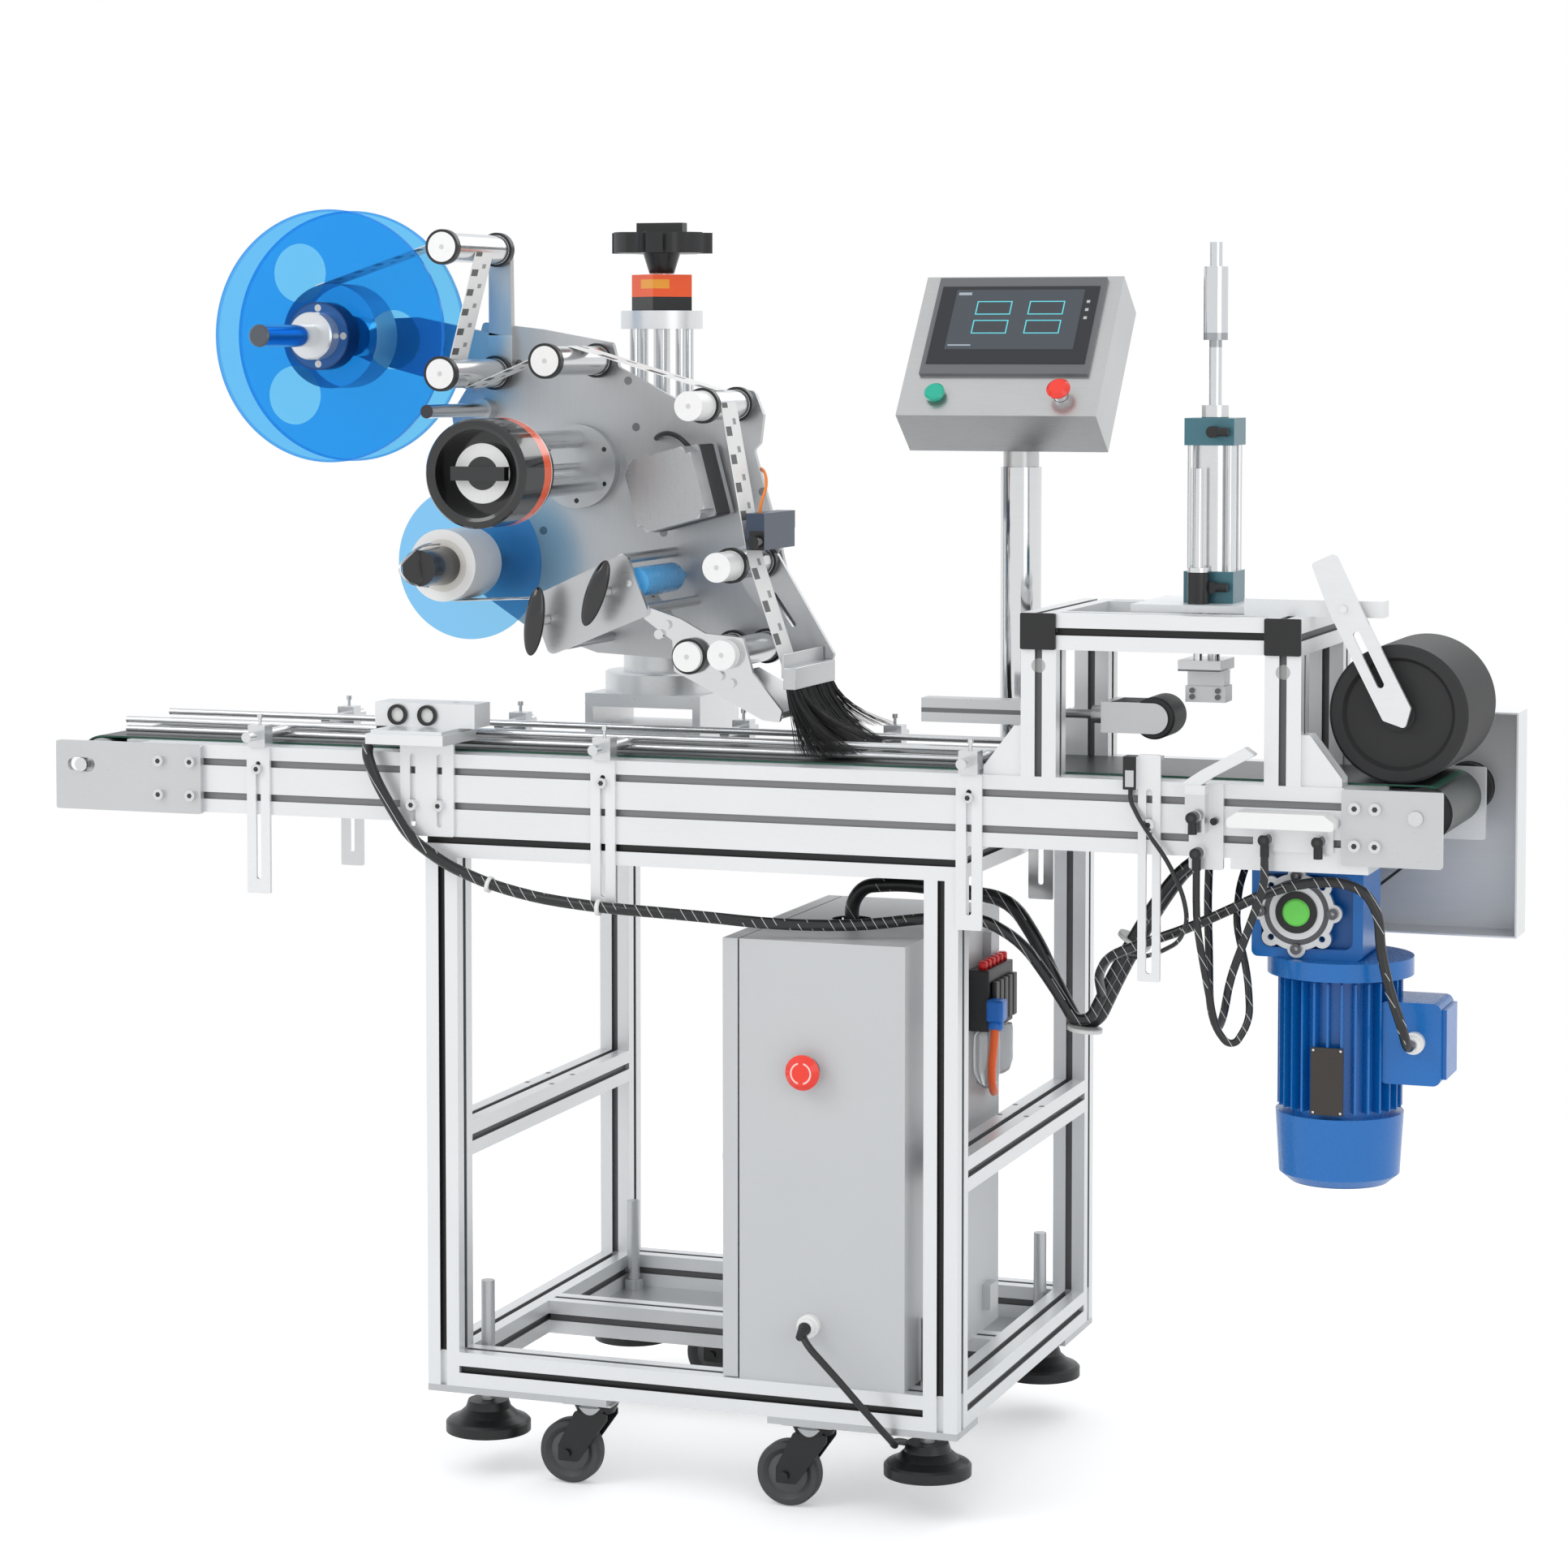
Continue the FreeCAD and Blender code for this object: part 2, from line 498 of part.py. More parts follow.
def slotted_strap(x, low, high, slots):
    """Upright slotted plate on the front of the conveyor rail"""
    outline = [(x, low), (x + " + guide_plate_wide", low), (x + " + guide_plate_wide", high), (x, high)]
    return plate(outline, "-guide_plate_thick", "guide_plate_thick", holes=slots, radius=2)


def make_guides():
    """Slotted straps, clamp blocks, cross rods and the long rails beside the belt"""
    pieces = []
    rod_front = "-34"
    block_top = "guide_rod_high + 12"
    for x in ("-229", "209", "645"):
        middle = x + " + guide_plate_wide / 2"
        slot = (middle, "guide_low + 20", middle, "bed_low + 60", "6.5")
        pieces.append(slotted_strap(x, "guide_low", "bed_low + bed_high", [slot]))
        clamp = box(x + " + 4", "-guide_plate_thick - 4", "bed_low + bed_high", "guide_plate_wide - 8",
                    "20", block_top + " - bed_low - bed_high")
        pieces.append(cut(clamp, rod("y", middle, "-40", "guide_rod_high", "guide_rod_dia", "60")))
        pieces.append(rod("z", middle, "2", block_top, 4, 8))
        pieces.append(rod("z", middle, "2", block_top + " + 8", 7, 5))
        pieces.append(rod("y", middle, "-guide_plate_thick - 6", "bed_low + bed_high * 0.68", 12, 6))
    for x in ("-214", "224", "660"):
        pieces.append(rod("y", x, rod_front, "guide_rod_high", "guide_rod_dia", "guide_reach + 34"))
    for y in ("guide_reach", "bed_deep - guide_reach - guide_rail_dia"):
        for z in ("guide_rod_high - 6", "guide_rod_high + 5"):
            pieces.append(rod("x", "bed_left - 60", y + " + guide_rail_dia / 2", z,
                              "guide_rail_dia", "tower_left - bed_left + 50"))
    for x in ("-221", "10", "300", "490"):
        pieces.append(rod("y", x, "bed_deep - guide_reach", "guide_rod_high", "guide_rod_dia",
                          "guide_reach + 30"))
        clamp = box(x + " - 11", "bed_deep - 16", "bed_low + bed_high", 22, 20, "guide_rod_high - bed_low - bed_high + 12")
        pieces.append(cut(clamp, rod("y", x, "bed_deep - 20", "guide_rod_high", "guide_rod_dia", 60)))
        pieces.append(rod("z", x, "bed_deep - 6", block_top, 4, 8))
        pieces.append(rod("z", x, "bed_deep - 6", block_top + " + 8", 7, 5))
    for x in ("-236", "652"):
        strap = [(x, "guide_low"), (x + " + guide_plate_wide", "guide_low"),
                 (x + " + guide_plate_wide", "bed_low + bed_high"), (x, "bed_low + bed_high")]
        middle = x + " + guide_plate_wide / 2"
        pieces.append(plate(strap, "bed_deep", "guide_plate_thick", radius=2,
                            holes=[(middle, "guide_low + 20", middle, "bed_low - 15", "6.5")]))
    node("side_guides", *pieces)


def make_cabinet():
    """Sheet metal cabinet, its gear, its door and its emergency stop"""
    inner_left = "cab_left - 1"
    shell = cut(box("cab_left", "cab_front", "cab_low", "cab_right - cab_left", "cab_deep", "cab_high"),
                box(inner_left, "cab_front + cab_wall", "cab_low + cab_wall",
                    "cab_right - cab_left - cab_wall + 1", "cab_deep - 2 * cab_wall", "cab_high - 2 * cab_wall"),
                rod("y", "cab_left + stop_in", "cab_front - 1", "stop_z", 22, "cab_wall + 2"),
                rod("y", "cab_left + gland_in", "cab_front - 1", "gland_z", 16, "cab_wall + 2"),
                rod("z", "cab_left + 70", "cab_front + 190", "cab_low + cab_high - cab_wall - 1", 46, "cab_wall + 2"))
    hinge_y = "cab_front + cab_deep + 6"
    hinge_x = "cab_left - 8"
    knuckles = []
    for z in ("cab_low + 60", "cab_low + cab_high - 120"):
        arm = box(hinge_x, hinge_y + " - 6", z, "20", "6", "20")
        barrel = rod("z", hinge_x, hinge_y, z, "2 * door_pin_dia", "20")
        pin = rod("z", hinge_x, hinge_y, z, "door_pin_dia", "46")
        knuckles.append(fuse(arm, barrel, pin))
    ears = []
    for z in ("cab_low + cab_high - 55", "cab_low + 25"):
        ears.append(box("cab_right", "cab_front + 300", z, "10", "30", "30"))
    collar = ring("y", "cab_left + stop_in", "cab_front - 3", "stop_z", "30", "18.6", "3")
    gland = turned("y", "cab_left + gland_in", "cab_front - 18", "gland_z", [
        ("cord_dia / 2", "0"), ("8", "0"), ("10", "3"), ("10", "9"), ("13", "9"), ("13", "18"), ("7.5", "18"),
        ("7.5", "24"), ("cord_dia / 2", "24")])
    node("cabinet_shell", shell, *knuckles, *ears, collar, gland)

    panel = box("cab_right - cab_wall - 14", "cab_front + 20", "cab_low + 20", "2", "cab_deep - 40", "cab_high - 40")
    gear = [panel]
    face = "cab_right - cab_wall - 14"
    modules = ((30, 50, 60, 120, 90), (160, 50, 70, 90, 100), (265, 50, 50, 70, 120),
               (30, 210, 75, 110, 120), (155, 230, 60, 100, 90), (270, 230, 45, 60, 110),
               (30, 380, 55, 150, 70), (195, 380, 65, 130, 80))
    for y, z, thick, deep, high in modules:
        gear.append(box("%s - %d" % (face, thick), "cab_front + %d" % y, "cab_low + %d" % z, thick, deep, high))
    for y, z in ((40, 40), (320, 40), (40, 450), (320, 450)):
        gear.append(rod("x", "cab_right - cab_wall - 12", "cab_front + %d" % y, "cab_low + %d" % z, 10, 12))
    node("control_gear", *gear)

    door_left = "cab_left - door_gap - door_thick"
    skin = cut(box(door_left, "cab_front", "cab_low + 1", "door_thick", "cab_deep", "cab_high - 1"),
               box(door_left + " + cab_wall", "cab_front + cab_wall", "cab_low + 1 + cab_wall",
                   "door_thick", "cab_deep - 2 * cab_wall", "cab_high - 1 - 2 * cab_wall"))
    door_parts = [skin]
    for z in ("cab_low + 60", "cab_low + cab_high - 120"):
        low = z + " + 20 + free_gap"
        leaf = box(hinge_x + " - 11", "cab_front + cab_deep - 1", low, "8", "7", "25")
        barrel = rod("z", hinge_x, hinge_y, low, "2 * door_pin_dia", "25")
        reach = box(hinge_x + " - 11", "cab_front + cab_deep", low, "11", "6", "25")
        door_parts.append(cut(fuse(leaf, barrel, reach),
                              rod("z", hinge_x, hinge_y, low, "door_pin_dia + 2 * running_fit", "25")))
    lock = rod("x", door_left + " - 3", "cab_front + 18", "cab_low + cab_high / 2", 22, 3)
    node("cabinet_door", fuse(*door_parts, lock))

    node("cabinet_stop", turned("y", "cab_left + stop_in", "cab_front - 24", "stop_z", [
        ("0", "0"), ("stop_dia / 2 - 6", "0"), ("stop_dia / 2", "5"), ("stop_dia / 2", "8"),
        ("stop_dia / 2 - 8", "12"), ("9", "15"), ("9", "40"), ("0", "40")]))


def tilted(x, into, up):
    """Point on the console's tilted face: along it, into it and up it, in its own axes"""
    lean = math.radians(val("console_tilt"))
    y = val("console_low_y") + into * math.cos(lean) + up * math.sin(lean)
    z = val("console_low_z") - into * math.sin(lean) + up * math.cos(lean)
    return val("console_left") + x, y, z


def make_console():
    """Polished pole, tilted console box, screen and its two buttons"""
    lean = Rotation(Vector(1, 0, 0), -val("console_tilt"))
    inward = lean * ALONG["y"]
    top = "frame_low + frame_high"
    pole = ring("z", "pole_x", "pole_y", top + " + 8", "pole_dia", "pole_dia - 2 * pole_wall", "pole_top - frame_low - frame_high - 8")
    foot = box("pole_x - 33", "pole_y - 36", top, 66, 72, 8)
    cap = rod("z", "pole_x", "pole_y", "pole_top", "pole_dia - 2 * pole_wall - 2 * running_fit - 12", 16)
    plug = rod("z", "pole_x", "pole_y", "pole_top - 12", "pole_dia - 2 * pole_wall", 12)
    node("console_pole", fuse(pole, plug, cap), foot)

    block = box(*tilted(0, 0, 0), "console_wide", "console_deep", "console_tall", lean)
    wall = val("console_wall")
    hollow = box(*tilted(wall, wall, wall), "console_wide - 2 * console_wall",
                 "console_deep - 2 * console_wall", "console_tall - 2 * console_wall", lean)
    start_hole = rod(inward, *tilted(44, -1, 28), 17, 6)
    stop_hole = rod(inward, *tilted(195, -1, 28), 17, 6)
    shell = cut(block, hollow, start_hole, stop_hole)
    neck_bore = "pole_dia - 2 * pole_wall - 12"
    neck = cut(rod("z", "pole_x", "pole_y", "pole_top + free_gap", "pole_dia - 6", 80),
               rod("z", "pole_x", "pole_y", "pole_top", neck_bore, 17),
               box(*tilted(0, -300, 0), "console_wide", "console_deep + 300", "console_tall + 60", lean))
    node("console_box", shell, neck)
    side = (val("console_wide") - val("screen_wide")) / 2
    up = val("screen_up")
    frame = box(*tilted(side, -5, up), "screen_wide", 5, "screen_tall", lean)
    glass = box(*tilted(side + 6, -6, up + 14), "screen_wide - 12", 1, "screen_tall - 28", lean)
    node("touch_screen", frame, glass)
    button = [("0", "0"), ("start_dia / 2 - 2", "0"), ("start_dia / 2", "2"), ("start_dia / 2", "6"),
              ("8", "6"), ("8", "26"), ("0", "26")]
    node("start_button", turned(inward, *tilted(44, -11, 28), button))
    node("console_stop", turned(inward, *tilted(195, -20, 28), [
        ("0", "0"), ("10", "0"), ("14", "4"), ("14", "6"), ("9", "10"), ("8", "12"), ("8", "34"), ("0", "34")]))


def make_column():
    """Lift column with its four rods, position counter and screw with a star knob"""
    riser_low = "frame_low + frame_high"
    riser = box("col_x - 60", "col_y - 60", riser_low, 120, 120, "col_block_low - frame_low - frame_high")
    front = "col_y - col_block_deep / 2"
    block = cut(box("col_x - col_block_wide / 2", front, "col_block_low",
                    "col_block_wide", "col_block_deep", "col_block_high"),
                box("col_x - 65", front + " - 1", "col_block_low + 12", 130, "col_block_deep + 2", 25))
    base_low = "col_block_low + col_block_high"
    bore = "screw_dia / 2 + running_fit"
    base = turned("z", "col_x", "col_y", base_low, [
        ("0", "0"), ("col_flange_dia / 2", "0"), ("col_flange_dia / 2", "col_flange_high - 2"),
        ("col_flange_dia / 2 - 2", "col_flange_high"), ("col_neck_dia / 2", "col_flange_high"),
        ("col_neck_dia / 2", "col_flange_high + col_neck_high"), (bore, "col_flange_high + col_neck_high"),
        (bore, "col_flange_high + 6"), ("0", "col_flange_high + 6")])
    rod_low = base_low + " + col_flange_high + col_neck_high"
    rods = []
    for angle in (56, 146, 236, 326):
        turn = math.radians(angle)
        x = "col_x + col_rod_reach * %.5f" % math.cos(turn)
        y = "col_y + col_rod_reach * %.5f" % math.sin(turn)
        rods.append(rod("z", x, y, rod_low, "col_rod_dia", "col_top_z - (%s)" % rod_low))
    top = ring("z", "col_x", "col_y", "col_top_z", "col_top_dia", "2 * (%s)" % bore, "col_top_thick")
    rib = box("col_x - 60", "col_y + 60", riser_low + " - 40", 120, 10, "col_block_low - frame_low - frame_high + 40")
    counter_low = "col_top_z + col_top_thick"
    turn = Rotation(Vector(0, 0, 1), 50)
    shift = turn * Vector(-val("counter_size") / 2, -val("counter_size") / 2, 0)
    case = box("col_x + %.4f" % shift.x, "col_y + %.4f" % shift.y, counter_low,
               "counter_size", "counter_size", "counter_high", turn)
    counter = cut(case, rod("z", "col_x", "col_y", counter_low + " - 1", "2 * (%s)" % bore, "counter_high + 2"))
    node("lift_column", riser, block, base, *rods, top, rib, counter)

    hub_low = counter_low + " + counter_high + 1"
    screw_low = base_low + " + col_flange_high + 8"
    screw = rod("z", "col_x", "col_y", screw_low, "screw_dia", "%s - (%s)" % (hub_low, screw_low))
    hub = cone("z", "col_x", "col_y", hub_low, 30, 46, 26)
    knob_low = hub_low + " + 25"
    disc = rod("z", "col_x", "col_y", knob_low, "knob_dia", "knob_high")
    notches = []
    for step in range(7):
        turn = math.radians(360 / 7 * step)
        x = "col_x + knob_dia * 0.58 * %.5f" % math.cos(turn)
        y = "col_y + knob_dia * 0.58 * %.5f" % math.sin(turn)
        notches.append(rod("z", x, y, knob_low + " - 1", "knob_dia * 0.34", "knob_high + 2"))
    grip = box("col_x - 30", "col_y - 8", knob_low + " + knob_high", 60, 16, 12)
    node("height_knob", screw, fuse(hub, cut(disc, *notches), grip))


# Name, place, where the front ring starts behind the roller's front, and the roller's length
ROLLERS = (
    ("guide_roller_1", 8, 1436, 0, 164), ("guide_roller_2", 5, 1289, 0, 164),
    ("guide_roller_3", 137, 1304, 0, 164), ("guide_roller_4", 314, 1253, 44, 164),
    ("guide_roller_5", 348, 1070, 44, 152), ("guide_roller_6", 314, 968, 0, 152),
    ("guide_roller_7", 356, 971, 0, 152),
)
NIP = (240, 1050)


def make_head():
    """Head plate on its carriage, roller axles, tension post, stepper motor and peel unit"""
    outline = [(-18, 1350), (60, 1341), (150, 1325), (158, 1296), (232, 1258), (290, 1250), (306, 1272),
               (330, 1268), (341, 1240), (337, 1207), (329, 1199), (361, 1093), (385, 985), (360, 955),
               (229, 950), (129, 955), (38, 984), (-25, 1025), (-45, 1050), (-45, 1100), (-20, 1120),
               (-56, 1215), (-60, 1240), (-40, 1270)]
    axle_fit = "guide_axle_dia + 2 * running_fit"
    through = [("rewind_x", "rewind_z", "screw_dia + 2 * running_fit"), NIP + (axle_fit,),
               ("step_x", "step_z", 30)]
    through += [(x, z, axle_fit) for name, x, z, ring_at, long in ROLLERS[5:]]
    main = plate(outline, "head_face", "head_thick", holes=through, radius=5)
    reel_arm = plate([(-192, 1352), (-192, 1314), (-164, 1302), (-30, 1268), (20, 1290), (20, 1332), (-100, 1356)],
                     "head_face - 10", 10, holes=[("reel_x", "reel_z", "screw_dia + 2 * running_fit")], radius=8)
    top_arm = plate([(-6, 1300), (24, 1300), (22, 1450), (-6, 1450)], "head_face - 10", 10, radius=6)
    top_left = box("col_x - 40", "head_face + head_thick", "carriage_low", 80,
                   "col_y - head_face - head_thick", "carriage_high")
    sleeve = rod("z", "col_x", "col_y", "carriage_low", "carriage_dia", "carriage_high")
    bores = [rod("z", "col_x", "col_y", "carriage_low - 1", "screw_dia + 2 * running_fit", "carriage_high + 2")]
    for angle in (56, 146, 236, 326):
        turn = math.radians(angle)
        bores.append(rod("z", "col_x + col_rod_reach * %.5f" % math.cos(turn),
                         "col_y + col_rod_reach * %.5f" % math.sin(turn), "carriage_low - 1",
                         "col_rod_dia + 2 * running_fit", "carriage_high + 2"))
    carriage = cut(fuse(top_left, sleeve), *bores)

    axles = []
    for name, x, z, ring_at, long in ROLLERS[:5]:
        axles.append(rod("y", x, "guide_front + 10", z, "guide_axle_dia", "head_face - guide_front - 10 - 10 * %d"
                         % (name == "guide_roller_1")))
    boss = [rod("y", -12, 190, 1245, 26, "head_face - 190"), rod("y", -12, 35, 1245, 16, 155)]
    flange = rod("y", "tension_x", "head_face - 14", "tension_z", "tension_flange_dia", 14)
    holes = [rod("y", "tension_x + 41 * %.4f" % math.cos(turn), "head_face - 15",
                 "tension_z + 41 * %.4f" % math.sin(turn), 6, 16)
             for turn in [math.radians(30 + 60 * step) for step in range(6)]]
    posts = [rod("y", "tension_x + %d" % dx, -8, "tension_z + %d" % dz, "tension_rod_dia", "head_face - 14 + 8")
             for dx, dz in ((0, 33), (25, -20), (-25, -20))]
    shaft = rod("y", "tension_x", -58, "tension_z", 10, "head_face - 14 + 58")
    back = rod("y", "tension_x", -22, "tension_z", "tension_dia - 8", 14)
    node("head_plate", main, reel_arm, top_arm, *axles, fuse(*boss), cut(flange, *holes),
         fuse(*posts, shaft, back), carriage)

    for name, x, z, ring_at, long in ROLLERS:
        r = "guide_roller_dia / 2"
        wide = "ring_dia / 2"
        rear = "%d" % long
        bore = "guide_axle_dia / 2 + running_fit"
        far_ring = [(r, rear + " - ring_thick"), (wide, rear + " - ring_thick"), (wide, rear)]
        if name in ("guide_roller_6", "guide_roller_7"):
            cap = r if name == "guide_roller_7" else wide
            pin = "guide_axle_dia / 2"
            points = [("0", "-6"), (r, "-6"), (r, "0"), (cap, "0"), (cap, "arm_front - guide_front - free_gap"),
                      (pin, "arm_front - guide_front - free_gap"),
                      (pin, "arm_front + arm_thick - guide_front + free_gap"),
                      (r, "arm_front + arm_thick - guide_front + free_gap")] + far_ring + [
                      (pin, rear), (pin, "head_face + head_thick - guide_front - 1"),
                      ("0", "head_face + head_thick - guide_front - 1")]
            if cap == r:
                points = points[:2] + points[4:]
        else:
            start = "%d" % ring_at
            points = [("0", "0"), (r, "0"), (r, start), (wide, start), (wide, start + " + ring_thick"),
                      (r, start + " + ring_thick")] + far_ring + [(bore, rear), (bore, "9.5"), ("0", "9.5")]
            if not ring_at:
                points = [("0", "0")] + points[3:]
        node(name, turned("y", x, "guide_front", z, points))

    wheel = turned("y", "tension_x", "tension_front", "tension_z", [
        ("0", "20"), ("34", "20"), ("34", "34"), ("50", "34"), ("50", "2"), ("54", "0"), ("60", "0"),
        ("tension_dia / 2", "3"), ("tension_dia / 2", "76 - free_gap"), ("5 + running_fit", "76 - free_gap"),
        ("5 + running_fit", "39"), ("0", "39")])
    handle = box("tension_x - 33", "tension_front + 6", "tension_z - 8", 66, 15, 16)
    node("tension_wheel", fuse(wheel, handle))

    tilt = Rotation(Vector(0, -1, 0), val("step_tilt"))
    half = val("step_size") / 2
    notch = half - 9
    cross = [(-notch, -half), (notch, -half), (notch + 3, -half + 6), (half - 6, -notch), (half, -notch),
             (half, notch), (half - 6, notch), (notch + 3, half - 6), (notch, half), (-notch, half),
             (-notch - 3, half - 6), (-half + 6, notch), (-half, notch), (-half, -notch), (-half + 6, -notch),
             (-notch - 3, -half + 6)]
    square = [(-half, -half), (half, -half), (half, half), (-half, half)]
    body = []
    for points, low, deep in ((cross, 0, 30), (square, 30, 52), (square, 82, 10)):
        piece = plate(points, "0", deep, radius=0 if points is cross else 3)
        body.append(place(piece, "step_x", "step_front + %d" % low, "step_z", tilt))
    boss = rod("y", "step_x", "step_front + 92", "step_z", 28, "head_face - step_front - 92 + 3")
    node("stepper_motor", *body, boss)

    nip = plate([(114, 1030), (235, 1085), (264, 1014), (140, 964)], "nip_front", 6, radius=8,
                holes=[NIP + (axle_fit,), (136, 1006, 8), (212, 1040, 8)])
    bars = [rod("y", x, "nip_front + 6", z, 12, "head_face - nip_front - 6")
            for x, z in ((228, 1077), (256, 1020), (129, 1012), (147, 975))]
    arm_holes = [(x, z, axle_fit) for name, x, z, ring_at, long in ROLLERS[5:]]
    front_arm = plate([(262, 1022), (300, 1010), (330, 994), (376, 990), (388, 950), (423, 908), (420, 895),
                       (400, 897), (330, 932), (292, 950), (290, 985), (254, 1010)],
                      "arm_front", "arm_thick", holes=arm_holes, radius=3)
    rear_arm = plate([(300, 1078), (335, 1092), (366, 1078), (436, 962), (426, 934), (404, 940), (330, 1030)],
                     "head_face - 20", 7, radius=5,
                     holes=[(362, 1030, 386, 996, 6), (348, 1070, "guide_axle_dia + 0.4")])
    spacer = rod("y", 322, "head_face - 13", 1066, 16, 13)
    bed = plate([(340, 938.5), (343, 945), (419, 905.5), (423, 901), (420.5, 898.8)],
                "arm_front + arm_thick", "head_face - 20 - arm_front - arm_thick")
    gauge_arm = plate([(352, 1083), (366, 1078), (388, 1110), (388, 1130), (368, 1130)], "head_face - 22", 2)
    gauge = box(366, 84, 1088, 22, "head_face - 22 - 84", 42)
    gauge_knob = rod("y", 380, 68, 1098, 14, 16)
    heads = bolt_heads("y", [(x, "arm_front - 5", z) for x, z in ((348, 946), (362, 938), (283, 1003), (275, 992))],
                       11, 5)
    node("peel_unit", fuse(nip, *bars, front_arm), fuse(rear_arm, spacer), bed, gauge_arm, fuse(gauge, gauge_knob),
         *heads)

    holder = box(424, "brush_front", 933, 14, "brush_wide", 24)
    front_tuft = plate([(425, 933), (437, 933), (450, 853.5), (434, 853.5)], "brush_front", 14)
    swept = [(425, 933), (437, 933), (450, 905), (475, 882), (514, 864), (500, 856), (462, 872), (438, 898),
             (427, 918)]
    over_rail = [(425, 933), (437, 933), (452, 912), (476, 896), (512, 886), (500, 880), (462, 886), (438, 905),
                 (427, 920)]
    tufts = [plate(over_rail, "brush_front + 14.5", "guide_reach + guide_rail_dia + 2 - brush_front - 14.5"),
             plate(swept, "guide_reach + guide_rail_dia + 2", 96),
             plate(over_rail, "guide_reach + guide_rail_dia + 98", 9)]
    node("brush", holder, front_tuft, *tufts)

    node("nip_roller", turned("y", NIP[0], "nip_front - 4", NIP[1], [
        ("0", "0"), ("guide_axle_dia / 2", "0"), ("guide_axle_dia / 2", "20"), ("guide_roller_dia / 2", "20"),
        ("guide_roller_dia / 2", "135"), ("guide_axle_dia / 2", "135"),
        ("guide_axle_dia / 2", "head_face + head_thick - nip_front + 2"),
        ("0", "head_face + head_thick - nip_front + 2")]))
    for name, x, z, lean in (("wing_knob_1", 136, 1006, 8), ("wing_knob_2", 212, 1040, 20)):
        wing = ellipsoid(x, 6, z, 12, 7, 40, Rotation(Vector(0, 1, 0), lean))
        stem = rod("y", x, 6, z, 12, 33)
        pin = rod("y", x, 38, z, 7.8, 7.5)
        node(name, fuse(wing, stem, pin))


def make_reels():
    """Label reel and liner rewind reel with their discs, cores and spindles"""
    spots = [math.radians(-3 + 120 * step) for step in range(3)]
    front = cut(rod("y", "reel_x", "reel_front", "reel_z", "reel_dia", "disc_thick"),
                *[rod("y", "reel_x + disc_hole_reach * %.5f" % math.cos(spot), "reel_front - 1",
                      "reel_z + disc_hole_reach * %.5f" % math.sin(spot), "disc_hole_dia", "disc_thick + 2")
                  for spot in spots])
    back = rod("y", "reel_x", "reel_front + disc_thick + reel_gap - 2", "reel_z", "reel_dia", "disc_thick")
    roll = rod("y", "reel_x", "reel_front + disc_thick", "reel_z", "roll_dia", "reel_gap - 2")
    lift = "reel_front - spindle_front"
    hub = turned("y", "reel_x", "spindle_front", "reel_z", [
        ("0", "0"), ("spindle_dia / 2 - 2", "0"), ("spindle_dia / 2", "2"), ("spindle_dia / 2", lift + " - 50"),
        ("26", lift + " - 50"), ("28", lift + " - 48"), ("28", lift + " - 28"), ("hub_dia / 2", lift + " - 28"),
        ("hub_dia / 2", lift), ("0", lift)])
    stub = turned("y", "reel_x", "reel_front + 2 * disc_thick + reel_gap - 2", "reel_z", [
        ("0", "0"), ("24", "0"), ("24", "30"), ("screw_dia / 2", "30"), ("screw_dia / 2", "64"), ("0", "64")])
    node("upper_reel", front, back, roll, hub, stub)

    disc = rod("y", "rewind_x", 146, "rewind_z", "rewind_dia", "disc_thick")
    core = rod("y", "rewind_x", 70, "rewind_z", "core_dia", 76)
    mandrel = cone("y", "rewind_x", 5, "rewind_z", "mandrel_dia - 4", "mandrel_dia", 65)
    shaft = turned("y", "rewind_x", "150", "rewind_z", [
        ("0", "0"), ("20", "0"), ("20", "42"), ("screw_dia / 2", "42"), ("screw_dia / 2", "72"), ("0", "72")])
    node("rewind_reel", disc, core, mandrel, shaft)


def tangent_run(start, end):
    """Straight run that touches two circles (x, z, dia, side), a little clear of both"""
    dx = end[0] - start[0]
    dz = end[1] - start[1]
    reach = [circle[3] * (val(circle[2]) / 2 + 0.8) for circle in (start, end)]
    long = math.hypot(dx, dz)
    lean = math.asin((reach[0] - reach[1]) / long)
    along = math.atan2(dz, dx) - lean
    normal = (-math.sin(along), math.cos(along))
    return [(circle[0] + normal[0] * size, circle[1] + normal[1] * size)
            for circle, size in zip((start, end), reach)]


def make_web():
    """Label liner as flat bands from the reel round the rollers to the rewind core"""
    roller = "guide_roller_dia"
    route = [(val("reel_x"), val("reel_z"), "roll_dia", 1), (8, 1436, roller, 1), (5, 1289, roller, -1),
             (137, 1304, roller, 1), (314, 1253, roller, 1), (348, 1070, roller, 1), (421, 901, 6, 1),
             (314, 968, roller, 1), NIP + (roller, 1), (val("rewind_x"), val("rewind_z"), "core_dia", 1)]
    bands = []
    for start, end in zip(route, route[1:]):
        (x1, z1), (x2, z2) = tangent_run(start, end)
        long = math.hypot(x2 - x1, z2 - z1)
        nx = -(z2 - z1) / long * 0.4
        nz = (x2 - x1) / long * 0.4
        bands.append(plate([(x1 + nx, z1 + nz), (x2 + nx, z2 + nz), (x2 - nx, z2 - nz), (x1 - nx, z1 - nz)],
                           93, 50))
    node("label_web", *bands)


